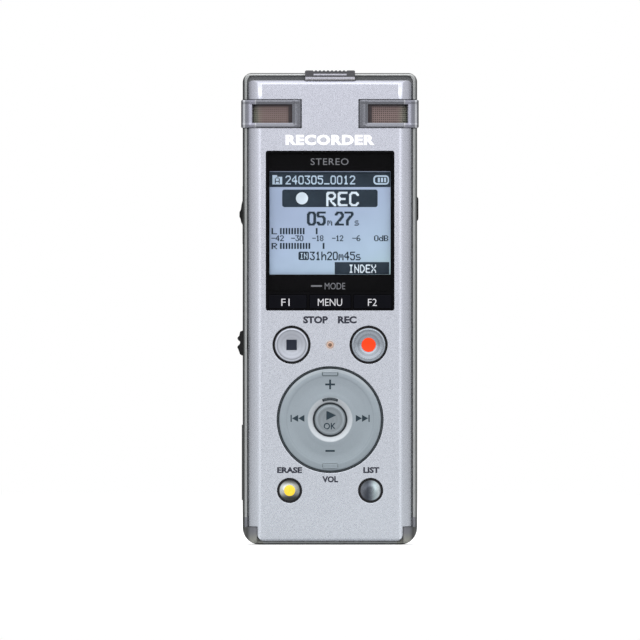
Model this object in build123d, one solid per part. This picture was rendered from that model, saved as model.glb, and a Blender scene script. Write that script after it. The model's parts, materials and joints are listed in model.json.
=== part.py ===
from build123d import *
import math
import os

# Pocket digital dictation recorder, standing on its bottom end. Millimetres.
# +Z runs from the bottom end to the microphone end, the control face looks along -Y.
# The origin is the centre of the bottom end face.

os.makedirs("parts", exist_ok=True)

# ---- driving dimensions -------------------------------------------------------------------------
SIDES = (-1, 1)                # left and right, as signs of X
BODY_H = 106.0                 # bottom end to top end
HALF = 39.2 / 2                # half width across the side band
Y_FRONT, Y_BACK = -7.2, 7.2    # control face and back face
R_TOP, R_BOT = 2.0, 3.8        # outline corners, microphone end and bottom end
WALL, END_WALL = 1.0, 1.4
CUT_FRONT = -8                 # start of cutters that enter from ahead of the control face

BAND_Y0, BAND_Y1 = -4.4, 3.0   # side band, front and rear edge
BAND_LIP = 18.65               # inside half width of the band's front lip
BAND_IN = 18.0                 # inside half width behind the lip
LIP_BACK = -3.3                # rear edge of the front lip

COVER_HALF = 18.4              # front cover half width
COVER_Z0, COVER_Z1 = 0.8, 104.45
COVER_R = 3.1                  # rounding between the control face and the cover sides
FLAT_HALF = 15.3               # flat part of the control face, half width
NOTCH_X, NOTCH_Z = 16.3, 4.1   # bottom corner notches of the front cover

DISPLAY_HALF, DISPLAY_Z0, DISPLAY_Z1 = 14.45, 52.6, 88.5
LCD_HALF, LCD_Z0, LCD_Z1 = 13.6, 60.7, 83.9
WINDOW_FRONT, WINDOW_BACK, MASK_BACK = -7.1, -6.25, -6.15

# x ranges of the openings for the three keys below the window
FUNCTION_KEYS = {"f1_button": (-13.95, -5.15), "menu_button": (-4.75, 4.75),
                 "f2_button": (5.15, 13.95)}
KEY_X, KEY_Z, KEY_R, KEY_HOLE = 8.65, 44.9, 3.85, 4.2          # stop and record
SMALL_X, SMALL_Z, SMALL_R, SMALL_HOLE = 9.1, 12.2, 2.4, 2.75   # erase and list
NAV_Z, NAV_R, NAV_HOLE = 28.1, 11.5, 11.92                     # ring key
OK_R, OK_HOLE = 3.5, 3.85
LED_Z = KEY_Z
FLANGE_FRONT, FLANGE_BACK = -6.13, -5.85                       # retaining flange of round keys
ROUND_KEYS = [(side * x, z) for x, z in ((KEY_X, KEY_Z), (SMALL_X, SMALL_Z)) for side in SIDES]
NAV_REACH = 8.5                # centre of the ring key to its four outer switches
DOMES = [((x0 + x1) / 2, 54.6) for x0, x1 in FUNCTION_KEYS.values()] + ROUND_KEYS + [
    (0, NAV_Z), (0, NAV_Z + NAV_REACH), (0, NAV_Z - NAV_REACH),
    (-NAV_REACH, NAV_Z), (NAV_REACH, NAV_Z)]

GUARD_Z0, GUARD_Z1, GUARD_IN = 93.64, 100.0, 6.45   # microphone guards, inner end in X
GUARD_PROUD, GUARD_GAP = 0.35, 0.08
GUARD_FRONT = Y_FRONT - GUARD_PROUD
MIC_X, MIC_Z, CENTER_MIC_Y = 12.2, 96.82, -0.85

JACK_X, JACK_Y, JACK_BORE, JACK_NOSE = 11.0, -0.4, 1.8, 2.5
SCREW_BOT = (15.9, 8.5)
CASE_SCREWS = ((16.0, 102.3), SCREW_BOT)            # (x, z) on each side
SCREW_PLACES = [(side * x, z) for side in SIDES for x, z in CASE_SCREWS]

KEY_BOARD_Y0, KEY_BOARD_Y1 = -4.95, -4.25
MAIN_BOARD_Y0, MAIN_BOARD_Y1 = -1.6, -0.8
KEY_BOARD_POSTS = [(side * 14.4, z) for z in (50.0, 18.0) for side in SIDES]
MAIN_BOARD_POSTS = [(side * 16.3, z) for z in (62.0, 88.5) for side in SIDES]

CELL_R, CELL_Y, CELL_Z0, CELL_Z1 = 5.15, 1.0, 9.6, 54.1        # AAA cell
DOOR_HALF, DOOR_Z1, DOOR_GAP = 12.0, 57.0, 0.15
HINGE_Y, HINGE_Z, PIN_REACH = 6.2, 4.0, 13.4
SWITCH_Z = 45.3
SPEAKER_Z, SPEAKER_R = 82.0, 8.0

# side doors: hinge (x, z), y range and top of the leaf
CARD_HINGE, CARD_Y, CARD_TOP = (-19.2, 67.6), (-3.7, -0.3), 80.55
USB_HINGE, USB_Y, USB_TOP = (19.15, 69.9), (-1.35, 2.25), 81.35


# ---- helpers ------------------------------------------------------------------------------------
def box(x0, x1, y0, y1, z0, z1):
    centre = Pos((x0 + x1) / 2, (y0 + y1) / 2, (z0 + z1) / 2)
    return centre * Box(abs(x1 - x0), abs(y1 - y0), abs(z1 - z0))


def plate(x0, x1, y0, y1, z0, z1, radius):
    """Box rounded as seen along Y; radius is one number or (low Z corners, high Z corners)."""
    low, high = radius if isinstance(radius, tuple) else (radius, radius)
    face = Pos((x0 + x1) / 2, (z0 + z1) / 2) * Rectangle(x1 - x0, z1 - z0)
    corners = face.vertices().sort_by(Axis.Y)
    if low > 0:
        face = fillet(corners[:2], low)
    if high > 0:
        face = fillet(face.vertices().sort_by(Axis.Y)[-2:], high)
    return Rot(90, 0, 0) * (Pos(0, 0, -y1) * extrude(face, amount=y1 - y0))


def slab_z(face, z0, z1):
    return Pos(0, 0, z0) * extrude(face, amount=z1 - z0)


def prism_x(points, x0, x1):
    """Polygon of (y, z) points, extruded between two widths."""
    wire = Polyline(*[(x0, y, z) for y, z in points], close=True)
    return extrude(make_face(wire), amount=x1 - x0, dir=(1, 0, 0))


def prism_y(points, y0, y1):
    """Polygon of (x, z) points, extruded between two depths."""
    wire = Polyline(*[(x, y0, z) for x, z in points], close=True)
    return extrude(make_face(wire), amount=y1 - y0, dir=(0, 1, 0))


def rod_x(radius, y, z, x0, x1):
    return Pos((x0 + x1) / 2, y, z) * Rot(0, 90, 0) * Cylinder(radius, x1 - x0)


def rod_y(radius, x, z, y0, y1):
    return Pos(x, (y0 + y1) / 2, z) * Rot(90, 0, 0) * Cylinder(radius, y1 - y0)


def rod_z(radius, x, y, z0, z1):
    return Pos(x, y, (z0 + z1) / 2) * Cylinder(radius, z1 - z0)


def turned(points, x, z):
    """Profile of (radius, y) points turned about the line along Y through x, z."""
    wire = Polyline(*[(radius, y, 0) for radius, y in points], close=True)
    return Pos(x, 0, z) * revolve(make_face(wire), Axis.Y, 360)


def face_xy(points):
    return make_face(Polyline(*[(x, y, 0) for x, y in points], close=True))


def round_section(half, y_round, y_square, radius):
    """Rectangle in X and Y with its two corners at y_round filleted."""
    face = face_xy([(-half, y_square), (-half, y_round), (half, y_round), (half, y_square)])
    for side in SIDES:
        corner = [v for v in face.vertices()
                  if abs(v.X - side * half) < 1e-4 and abs(v.Y - y_round) < 1e-4]
        face = fillet(corner, radius)
    return face


def body_slab(y0, y1):
    """Full outline of the recorder between two depths."""
    return plate(-HALF, HALF, y0, y1, 0, BODY_H, (R_BOT, R_TOP))


def mirror_x(shape):
    return mirror(shape, about=Plane.YZ)


def edges_at_y(shape, y):
    return [e for e in shape.edges() if abs(e.center().Y - y) < 1e-3]


def soften(shape, edges, size, operation=fillet):
    """Fillet or chamfer; the shape stays sharp if the kernel can't do it or no edge is found."""
    try:
        return operation(edges, size)
    except Exception:
        return shape


def save(name, *shapes):
    solids = [solid for shape in shapes for solid in shape.solids()]
    result = solids[0] if len(solids) == 1 else Compound(children=solids)
    result.label = name
    export_step(result, f"parts/{name}.step")


# ---- front cover --------------------------------------------------------------------------------
def cover_envelope():
    side_profile = [  # (y, z)
        (-3.3, COVER_Z0), (-6.55, COVER_Z0), (-6.95, COVER_Z0 + 0.15), (Y_FRONT, COVER_Z0 + 0.55),
        (Y_FRONT, COVER_Z1 - 1.05), (-7.05, COVER_Z1 - 0.65), (-6.6, COVER_Z1 - 0.2),
        (-6.1, COVER_Z1), (-3.3, COVER_Z1)]
    outer = slab_z(round_section(COVER_HALF, Y_FRONT, -3.4, COVER_R), COVER_Z0, COVER_Z1)
    outer = outer & prism_x(side_profile, -19, 19)
    outer = outer & plate(-COVER_HALF, COVER_HALF, CUT_FRONT, -3, COVER_Z0, COVER_Z1, (0, 1.3))
    notch = box(NOTCH_X, 20, CUT_FRONT, -3, -2, NOTCH_Z)
    outer = outer - notch - mirror_x(notch)
    notch_corners = [e for e in outer.edges() if e.geom_type == GeomType.LINE
                     and abs(abs(e.center().X) - NOTCH_X) < 0.01
                     and abs(e.center().Z - COVER_Z0) < 0.6 and abs(e.tangent_at(0.5).Y) > 0.9]
    return soften(outer, notch_corners, 1.2)


def front_cover():
    outer = cover_envelope()
    section = round_section(COVER_HALF - WALL, Y_FRONT + WALL, 5, COVER_R - WALL)
    inner = slab_z(section, COVER_Z0 + WALL, COVER_Z1 - WALL)
    notch = box(NOTCH_X - WALL, 20, CUT_FRONT, 6, -2, NOTCH_Z + WALL)
    inner = inner - notch - mirror_x(notch)
    cover = outer - inner
    # posts for the case screws and for the key board
    for x, z in SCREW_PLACES:
        cover += rod_y(1.7, x, z, -7.0, -3.42) & outer
        cover -= rod_y(0.72, x, z, -5.1, -3.0)
    for x, z in KEY_BOARD_POSTS:
        cover += rod_y(1.2, x, z, -6.4, KEY_BOARD_Y0)
        cover -= rod_y(0.5, x, z, -6.2, KEY_BOARD_Y0 + 1)
    # openings for the display, keys, lamp and microphones
    cover -= plate(-DISPLAY_HALF, DISPLAY_HALF, CUT_FRONT, -5, DISPLAY_Z0, DISPLAY_Z1, 0.5)
    for side in SIDES:
        cover -= rod_y(KEY_HOLE, side * KEY_X, KEY_Z, CUT_FRONT, -5)
        cover -= rod_y(SMALL_HOLE, side * SMALL_X, SMALL_Z, CUT_FRONT, -5)
    cover -= rod_y(NAV_HOLE, 0, NAV_Z, CUT_FRONT, -5.4)
    cover -= rod_y(0.8, 0, LED_Z, CUT_FRONT, -5)
    for side in SIDES:
        cover -= box(side * (GUARD_IN - GUARD_GAP), side * 19, CUT_FRONT, -3,
                     GUARD_Z0 - GUARD_GAP, GUARD_Z1 + GUARD_GAP)
    cover -= box(-5.75, 5.75, CUT_FRONT, -3, 104.2, 106)
    # soft edge round the holes for the keys
    rims = [e for e in edges_at_y(cover, Y_FRONT)
            if e.geom_type == GeomType.CIRCLE and e.radius > 2]
    return soften(cover, rims, 0.2)


save("front_cover", front_cover())


# ---- side band (chassis) ------------------------------------------------------------------------
def corner_envelope():
    """Limits of the solid bottom corners that reach forward beside the front cover."""
    half = HALF - 0.1
    envelope = plate(-half, half, Y_FRONT, LIP_BACK, 0.1, 50, (R_BOT - 0.1, 0.1))
    envelope = envelope & slab_z(round_section(half, Y_FRONT, 0, half - FLAT_HALF), -1, 10)
    nose = [(LIP_BACK, -0.01), (-5.9, 0.05), (-6.6, 0.4), (-7.0, 1.2),  # (y, z)
            (Y_FRONT, 2.4), (Y_FRONT, 6), (LIP_BACK, 6)]
    return envelope & prism_x(nose, -20, 20)


def door_seat(x0, x1, y_range, hinge, top):
    """Cutter for the shallow recess that a side door closes into."""
    return box(x0, x1, y_range[0] - 0.05, y_range[1] + 0.05, hinge[1] - 0.5, top + 0.1)


def hinge_holes(y_range, hinge):
    return rod_y(0.31, *hinge, y_range[0] - 0.35, y_range[1] + 0.35)


def chassis():
    band = body_slab(BAND_Y0, BAND_Y1)
    band = soften(band, edges_at_y(band, BAND_Y0), 0.45)
    band -= plate(-BAND_LIP, BAND_LIP, -5, LIP_BACK, 0.68, 105.4, (2.6, 1.4))
    band -= plate(-BAND_IN, BAND_IN, -3.35, 3.5, END_WALL, 104.4, (2.4, 1.0))
    corners = corner_envelope()
    mic_z0, mic_z1 = GUARD_Z0 - 1.4, GUARD_Z1 + 0.6
    for side in SIDES:
        band += corners & box(side * (NOTCH_X + 0.15), side * 20, Y_FRONT, LIP_BACK,
                              -1, NOTCH_Z - 0.15)
        # bosses for the case screws
        for x, z in CASE_SCREWS:
            band += rod_y(1.7, side * x, z, LIP_BACK, 2.1)
            band += box(side * x, side * (BAND_IN + 0.4), LIP_BACK, 2.1, z - 0.8, z + 0.8)
        # ledges for the main board
        for x, z in MAIN_BOARD_POSTS:
            if x * side > 0:
                band += box(side * 15.1, side * (BAND_IN + 0.3), -3.2, MAIN_BOARD_Y0,
                            z - 1.3, z + 1.3)
                band -= rod_y(0.55, x, z, -3.0, 0)
        # seats behind the side microphones
        band += box(side * 8.9, side * 17.25, -3.6, -3.05, mic_z0, mic_z1)
        band += box(side * 15.0, side * (BAND_IN + 0.2), LIP_BACK, -2.4, mic_z0, mic_z1)
        band += box(side * 16.6, side * (BAND_IN + 0.3), LIP_BACK, -2.2, mic_z0, GUARD_Z0 - 0.2)
    # screw holes, guard slots and jack holes
    for side in SIDES:
        for x, z in CASE_SCREWS:
            band -= rod_y(0.85, side * x, z, -4, 3)
        band -= box(side * 17.85, side * 21, -5, 1.5, GUARD_Z0 - GUARD_GAP, GUARD_Z1 + GUARD_GAP)
        band -= rod_z(JACK_NOSE + 0.08, side * JACK_X, JACK_Y, 104, 107)
    # strap eye in the left bottom corner: a hooked channel from the side to the end
    band += box(-18.3, -13.2, -2.2, 1.6, 1.0, 6.0)
    band -= box(-20, -15.1, -1.3, 0.7, 3.0, 4.9)
    band -= box(-16.9, -15.1, -1.3, 0.7, -1, 4.9)
    # slightly raised pad on the left side, (y, z)
    band += prism_x([(-3.0, 10.4), (-2.6, 10.0), (1.9, 10.0), (2.3, 10.4),
                     (2.3, 26.5), (1.9, 26.9), (-2.6, 26.9), (-3.0, 26.5)], -19.8, -19.3)
    # centre microphone opening in the end wall
    band -= box(-4.1, 4.1, -4.0, 0.9, 104, 107)
    # power and hold switch recess and slot
    band -= box(-20, -18.85, -4.05, -1.15, 40.6, 50.0)
    band -= box(-20, -17, -3.35, -1.85, SWITCH_Z - 3.3, SWITCH_Z + 3.3)
    # memory card door recess, slot and hinge holes
    band -= door_seat(-20, -18.8, CARD_Y, CARD_HINGE, CARD_TOP)
    band -= box(-20, -17, -2.9, -1.7, 68.6, 79.8)
    band -= hinge_holes(CARD_Y, CARD_HINGE)
    # data terminal door recess, opening and hinge holes
    band -= door_seat(18.75, 20, USB_Y, USB_HINGE, USB_TOP)
    band -= box(17, 20, -0.75, 1.7, 71.6, 79.4)
    band -= hinge_holes(USB_Y, USB_HINGE)
    return band


save("chassis", chassis())


# ---- rear cover ---------------------------------------------------------------------------------
def rear_shell():
    end_r = 2.0  # rounding between the back face and the ends
    angles = [math.radians(degrees) for degrees in range(0, 91, 15)]
    side_profile = [(2.5, 0)]  # (y, z)
    side_profile += [(Y_BACK - end_r + end_r * math.sin(a), end_r - end_r * math.cos(a))
                     for a in angles]
    side_profile += [(Y_BACK - end_r + end_r * math.cos(a), BODY_H - end_r + end_r * math.sin(a))
                     for a in angles]
    side_profile += [(2.5, BODY_H)]
    outer = slab_z(round_section(HALF, Y_BACK, BAND_Y1, 3.0), 0, BODY_H) & body_slab(2.5, 8)
    outer = outer & prism_x(side_profile, -25, 25)
    half, z0, z1 = HALF - WALL, END_WALL, BODY_H - END_WALL
    inner = slab_z(round_section(half, Y_BACK - WALL, 0, 2.0), z0, z1)
    inner = inner & plate(-half, half, 0, 8, z0, z1, (2.8, 1.2))
    return outer, outer - inner


def rear_cover():
    outer, cover = rear_shell()
    # tongue that enters the side band, and the step that joins it to the shell
    opening = plate(-17.2, 17.2, 2.0, 4.0, 2.2, 103.6, (1.6, 0.4))
    step = plate(-18.65, 18.65, 3.02, 3.6, 1.35, 104.65, (2.8, 1.2)) - opening
    cover += plate(-17.9, 17.9, 2.2, 3.3, 1.5, 104.3, (2.3, 0.9)) - opening
    cover += step & outer
    for x, z in SCREW_PLACES:
        cover += rod_y(1.9, x, z, 2.15, 6.5)
    # speaker collar with a gap at its lower side
    collar = (rod_y(SPEAKER_R + 0.95, 0, SPEAKER_Z, 3.6, 6.4)
              - rod_y(SPEAKER_R + 0.15, 0, SPEAKER_Z, 3.0, 7.0))
    cover += collar - box(-1.6, 1.6, 3, 6.2, 70, 76)
    # hinge lugs, door opening and pin bore
    for side in SIDES:
        cover += box(side * DOOR_HALF, side * 13.6, 4.9, 6.4, 2.5, 5.5)
    cover -= plate(-DOOR_HALF, DOOR_HALF, 6.0, 8, HINGE_Z - 1.2, DOOR_Z1, (0, 1.6))
    cover -= rod_x(0.51, HINGE_Y, HINGE_Z, -PIN_REACH, PIN_REACH)
    for x, z in SCREW_PLACES:
        cover -= rod_y(0.85, x, z, 2, 7)
        cover -= rod_y(1.5, x, z, 6.25, 8)
    # speaker slots, cut to a circle
    slot_pitch, slot_half, slots_r = 1.75, 0.45, 6.3
    for i in range(-3, 4):
        reach = math.sqrt(slots_r ** 2 - (i * slot_pitch) ** 2)
        z = SPEAKER_Z + i * slot_pitch
        cover -= plate(-reach, reach, 5.9, 8, z - slot_half, z + slot_half, 0.44)
    return cover


def case_screw(x, z):
    screw = rod_y(1.38, x, z, 6.27, 6.95) + rod_y(0.7, x, z, -4.8, 6.4)
    for x_half, z_half in ((0.8, 0.14), (0.14, 0.8)):  # cross slot
        screw -= box(x - x_half, x + x_half, 6.6, 7.2, z - z_half, z + z_half)
    return screw


save("rear_cover", rear_cover())
save("case_screws", *[case_screw(x, z) for x, z in SCREW_PLACES])


# ---- display ------------------------------------------------------------------------------------
def display_frame():
    frame = plate(-DISPLAY_HALF + 0.05, DISPLAY_HALF - 0.05, -7.15, -5.6,
                  DISPLAY_Z0 + 0.05, DISPLAY_Z1 - 0.05, 0.45)
    frame += plate(-14.85, 14.85, -6.17, -5.6, 52.0, 89.1, 0.3)
    frame -= plate(-13.95, 13.95, CUT_FRONT, MASK_BACK, 56.75, 88.0, 0.3)
    frame -= plate(-13.75, 13.75, CUT_FRONT, -5, 60.5, 84.1, 0.2)
    for x0, x1 in FUNCTION_KEYS.values():
        frame -= plate(x0, x1, CUT_FRONT, -5, 52.95, 56.25, 0.25)
    return frame


def window_pane(y0, y1):
    return plate(-13.9, 13.9, y0, y1, 56.8, 87.95, 0.28)


save("display_frame", display_frame())
save("display_window", window_pane(WINDOW_FRONT, WINDOW_BACK))
save("window_mask", window_pane(WINDOW_BACK, MASK_BACK)
     - plate(-LCD_HALF, LCD_HALF, -7, -6, LCD_Z0, LCD_Z1, 0.1))
save("lcd_glass", box(-14.2, 14.2, -5.45, -4.45, 58.4, 86.0))
save("lcd_backlight", box(-14.5, 14.5, -4.43, -3.2, 57.9, 86.6)
     - box(-13.9, 13.9, -5, -4.25, 59.2, 85.6))
save("lcd_flex", box(-6, 6, -4.9, -4.78, 57.2, 58.38) + box(-6, 6, -4.9, -1.62, 57.08, 57.2)
     + box(-6, 6, -1.74, -1.62, 57.08, 60.5))


# ---- keys ---------------------------------------------------------------------------------------
def function_key(x0, x1):
    front = -7.22
    key = plate(x0 + 0.12, x1 - 0.12, front, -5.5, 53.07, 56.13, 0.2)
    key = soften(key, edges_at_y(key, front), 0.12)
    return key + plate(x0 - 0.1, x1 + 0.1, -5.58, -5.38, 52.75, 56.45, 0.2)


def dish(r_edge, y_edge, y_mid, steps=8):
    """(radius, y) points of a parabolic dish from its edge to the axis."""
    radii = [r_edge * (1 - i / steps) for i in range(steps + 1)]
    return [(radius, y_mid + (y_edge - y_mid) * (radius / r_edge) ** 2) for radius in radii]


def large_key(side, dish_r, dish_y):
    points = [(0, FLANGE_BACK), (4.65, FLANGE_BACK), (4.65, FLANGE_FRONT), (KEY_R, FLANGE_FRONT),
              (KEY_R, -7.35), (KEY_R - 0.12, -7.55), (KEY_R - 0.35, -7.65)]
    return turned(points + dish(dish_r, -7.65, dish_y), side * KEY_X, KEY_Z)


def small_key(side):
    edge_y, rise = -7.2, 0.55
    points = [(0, FLANGE_BACK), (3.2, FLANGE_BACK), (3.2, FLANGE_FRONT),
              (SMALL_R, FLANGE_FRONT), (SMALL_R, edge_y)]
    angles = [math.radians(degrees) for degrees in range(12, 90, 13)]
    points += [(SMALL_R * math.cos(a), edge_y - rise * math.sin(a)) for a in angles]
    points += [(0, edge_y - rise)]
    return turned(points, side * SMALL_X, SMALL_Z)


def nav_ring():
    """Ring key: rim, shallow dished face, bevel towards the centre key, undercut for its web."""
    points = [  # (radius, y)
        (OK_HOLE, -5.9), (5.4, -5.9), (5.4, -6.7), (9.9, -6.7), (9.9, -5.5), (12.3, -5.5),
        (12.3, -5.75), (NAV_R, -5.75), (NAV_R, -7.25), (NAV_R - 0.15, -7.48), (NAV_R - 0.4, -7.6),
        (10.4, -7.62), (9.9, -7.52), (9.2, -7.44), (7.8, -7.36), (6.4, -7.38), (5.3, -7.46),
        (4.95, -7.46), (4.75, -7.36), (OK_HOLE + 0.08, -6.85), (OK_HOLE, -6.7)]
    ring = turned(points, 0, NAV_Z)
    # raised bars at the top and bottom of the rim
    for offset_z in (10.75, -10.75):
        bar = rod_x(0.32, -7.5, NAV_Z + offset_z, -1.6, 1.6)
        ring += bar & rod_y(NAV_R - 0.2, 0, NAV_Z, -9, -5.9)
    return ring


for name, (x0, x1) in FUNCTION_KEYS.items():
    save(name, function_key(x0, x1))
save("stop_button", large_key(-1, 3.2, -7.45))
save("rec_button", large_key(1, 3.3, -7.05))
save("erase_button", small_key(-1))
save("list_button", small_key(1))
save("nav_ring", nav_ring())
save("nav_web", turned([(5.75, -5.42), (9.5, -5.42), (9.5, -5.72), (7.4, -5.72),
                        (7.4, -6.38), (5.75, -6.38)], 0, NAV_Z))
save("ok_button", turned([(0, -5.4), (4.55, -5.4), (4.55, -5.65), (OK_R, -5.65), (OK_R, -7.35),
                          (OK_R - 0.1, -7.5), (OK_R - 0.3, -7.58)]
                         + dish(2.9, -7.6, -7.52, steps=4), 0, NAV_Z))
save("led_lens", turned([(0, -5.75), (1.2, -5.75), (1.2, FLANGE_FRONT), (0.74, FLANGE_FRONT),
                         (0.74, -7.15), (0.62, -7.3), (0.35, -7.4), (0, -7.43)], 0, LED_Z))
save("led_chip", box(-0.8, 0.8, -5.6, KEY_BOARD_Y0, LED_Z - 0.4, LED_Z + 0.4))


def keypad_membrane():
    """Silicone sheet with an actuator under each round side key."""
    sheet = plate(-15.2, 15.2, -5.35, -5.15, 6.4, 56.6, 1.0)
    for x, z in ROUND_KEYS:
        sheet += rod_y(1.2, x, z, -5.83, -5.2)
    sheet -= rod_y(1.5, 0, LED_Z, -6, -5)
    for x, z in KEY_BOARD_POSTS:
        sheet -= rod_y(1.4, x, z, -6, -5)
    for side in SIDES:
        sheet -= rod_y(2.2, side * SCREW_BOT[0], SCREW_BOT[1], -6, -5)
    return sheet


DOME_PROFILE = [(0, -4.96), (2.0, -4.96), (1.7, -5.02), (1.2, -5.09), (0, -5.13)]  # (radius, y)
save("keypad_membrane", keypad_membrane())
save("tact_domes", *[turned(DOME_PROFILE, x, z) for x, z in DOMES])


# ---- boards -------------------------------------------------------------------------------------
def key_board():
    board = plate(-16.2, 16.2, KEY_BOARD_Y0, KEY_BOARD_Y1, 5.0, 56.4, 1.0)
    for x, z in KEY_BOARD_POSTS:
        board -= rod_y(0.62, x, z, -6, -3)
    for side in SIDES:
        board -= rod_y(2.0, side * SCREW_BOT[0], SCREW_BOT[1], -6, -3)
        board -= box(side * 14.4, side * 18, -6, -3, 4, 8.5)
    return board


def main_board():
    board = box(-17.6, 17.6, MAIN_BOARD_Y0, MAIN_BOARD_Y1, 57.0, 100.0)
    board += box(-7.8, 7.8, MAIN_BOARD_Y0, MAIN_BOARD_Y1, 99, 101.2)
    for side in SIDES:  # room for the jacks
        board -= box(side * 7.85, side * 14.15, -3, 0, 92.2, 104)
    for x, z in MAIN_BOARD_POSTS:
        board -= rod_y(0.7, x, z, -3, 0)
    return board


def board_screw(x, z, seat, head_r, head_h, shank_r, tip, slot_floor, slot_half, slot_w):
    """Slotted screw with its head on the rear face of a board."""
    screw = rod_y(head_r, x, z, seat, seat + head_h) + rod_y(shank_r, x, z, tip, seat + 0.2)
    return screw - box(x - slot_half, x + slot_half, seat + slot_floor, seat + 1,
                       z - slot_w / 2, z + slot_w / 2)


save("key_board", key_board())
save("main_board", main_board())
save("board_screws",
     *[board_screw(x, z, KEY_BOARD_Y1, head_r=0.95, head_h=0.4, shank_r=0.48, tip=-6.0,
                   slot_floor=0.2, slot_half=0.55, slot_w=0.2) for x, z in KEY_BOARD_POSTS],
     *[board_screw(x, z, MAIN_BOARD_Y1, head_r=1.1, head_h=0.5, shank_r=0.52, tip=-2.9,
                   slot_floor=0.25, slot_half=0.65, slot_w=0.24) for x, z in MAIN_BOARD_POSTS])
save("board_link_flex", box(8, 13, KEY_BOARD_Y1, KEY_BOARD_Y1 + 0.12, 53.4, 56.8)
     + box(8, 13, KEY_BOARD_Y1, -0.68, 56.68, 56.8)
     + box(8, 13, MAIN_BOARD_Y1, MAIN_BOARD_Y1 + 0.12, 56.68, 59.8))
save("shield_can", box(-8, 8, MAIN_BOARD_Y1, 1.0, 59.2, 71.0)
     - box(-7.8, 7.8, MAIN_BOARD_Y1 - 1, 0.8, 59.4, 70.8))
save("circuit_chips",
     box(-4.5, 4.5, MAIN_BOARD_Y1, 0.3, 60.8, 69.4),
     box(10.6, 15.2, MAIN_BOARD_Y1, 0.2, 61.2, 67.2),
     box(4.0, 12.0, -2.5, MAIN_BOARD_Y0, 62.0, 72.0),
     box(-13.6, -9.6, MAIN_BOARD_Y1, 0.1, 84.0, 88.0),
     box(8.6, 11.6, KEY_BOARD_Y1, -3.4, 34.0, 37.0))
save("backup_capacitor", rod_y(2.4, -12.4, 63.5, MAIN_BOARD_Y1, 0.6))


# ---- microphones --------------------------------------------------------------------------------
GUARD_HALF, GUARD_BEND = HALF + GUARD_PROUD, 16.65   # outside, and where front bends to side
GUARD_FACE = face_xy([
    (-GUARD_HALF, 8), (-GUARD_HALF, -4.25), (-GUARD_BEND, GUARD_FRONT),
    (GUARD_BEND, GUARD_FRONT), (GUARD_HALF, -4.25), (GUARD_HALF, 8)])


def guard_inset(depth):
    return offset(GUARD_FACE, amount=-depth, kind=Kind.INTERSECTION)


def mic_guard():
    x0, x1, z0, z1 = 8.5, 17.5, 94.77, 98.95  # front window
    outside = fillet([v for v in GUARD_FACE.vertices() if v.Y < 0], 0.6)
    guard = (slab_z(outside, GUARD_Z0, GUARD_Z1)
             - slab_z(guard_inset(1.2), GUARD_Z0 - 1, GUARD_Z1 + 1))
    guard = guard & box(GUARD_IN, 21, -9, 1.42, GUARD_Z0, GUARD_Z1)
    guard -= box(x0, x1, -9, -3.9, z0, z1)
    guard -= box(x1, 21, -2.9, 0.5, z0, z1)
    window = [e for e in edges_at_y(guard, GUARD_FRONT)
              if x0 - 0.1 < e.center().X < x1 + 0.1 and z0 - 0.1 < e.center().Z < z1 + 0.1]
    guard = soften(guard, window, 0.35, chamfer)
    front = edges_at_y(guard, GUARD_FRONT)
    border = [e for e in front if abs(e.center().X - GUARD_IN) < 1e-3]
    border += [e for e in front if abs(e.center().Z - GUARD_Z0) < 1e-3
               or abs(e.center().Z - GUARD_Z1) < 1e-3]
    return soften(guard, border, 0.2)


def mic_mesh():
    z0, z1 = 93.9, 99.75
    sheet = slab_z(guard_inset(1.23), z0, z1) - slab_z(guard_inset(1.45), 90, 104)
    return sheet & box(7.1, 21, -9, 1.3, z0, z1)


def center_mic_cap():
    top = 106.55
    cap = box(-5.6, 5.6, -6.7, 1.6, 106.02, top)
    cap += box(-5.6, 5.6, -6.7, -4.45, 104.3, 106.4)
    cap += box(-4.0, 4.0, -3.9, 0.8, 104.7, 106.3)
    cap = soften(cap, [e for e in cap.edges() if abs(e.center().Z - top) < 1e-3], 0.18, chamfer)
    # nine grooves in the top, the middle five cut through
    pitch, groove_half = 0.9, 0.22
    for i in range(-4, 5):
        x = i * pitch
        cap -= box(x - groove_half, x + groove_half, -6.9, 1.8, 106.36, 107)
    for i in range(-2, 3):
        x = i * pitch
        cap -= box(x - groove_half, x + groove_half, -3.6, -0.8, 104, 107)
    return cap


for name, part in (("mic_guard", mic_guard()), ("mic_mesh", mic_mesh())):
    save(f"{name}_right", part)
    save(f"{name}_left", mirror_x(part))
save("mic_capsules",
     *[rod_y(2.5, side * MIC_X, MIC_Z, -5.5, -4.0) - rod_y(1.5, side * MIC_X, MIC_Z, -6, -5.35)
       for side in SIDES],
     rod_z(1.9, 0, CENTER_MIC_Y, 102.7, 104.2) - rod_z(1.1, 0, CENTER_MIC_Y, 104.05, 105))
save("mic_boots",
     *[rod_y(3.0, side * MIC_X, MIC_Z, -5.7, -3.62) - rod_y(2.52, side * MIC_X, MIC_Z, -6, -3.95)
       for side in SIDES],
     rod_z(2.4, 0, CENTER_MIC_Y, 102.3, 104.35) - rod_z(1.92, 0, CENTER_MIC_Y, 102.65, 105))
save("center_mic_cap", center_mic_cap())
save("center_mic_trim", box(-3.7, 3.7, -6.92, -6.72, 105.38, 105.85)
     + box(-5.55, 5.55, -6.92, -6.72, 104.6, 105.1) + box(-3.2, 3.2, -6.82, -6.72, 104.8, 105.6))

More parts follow.
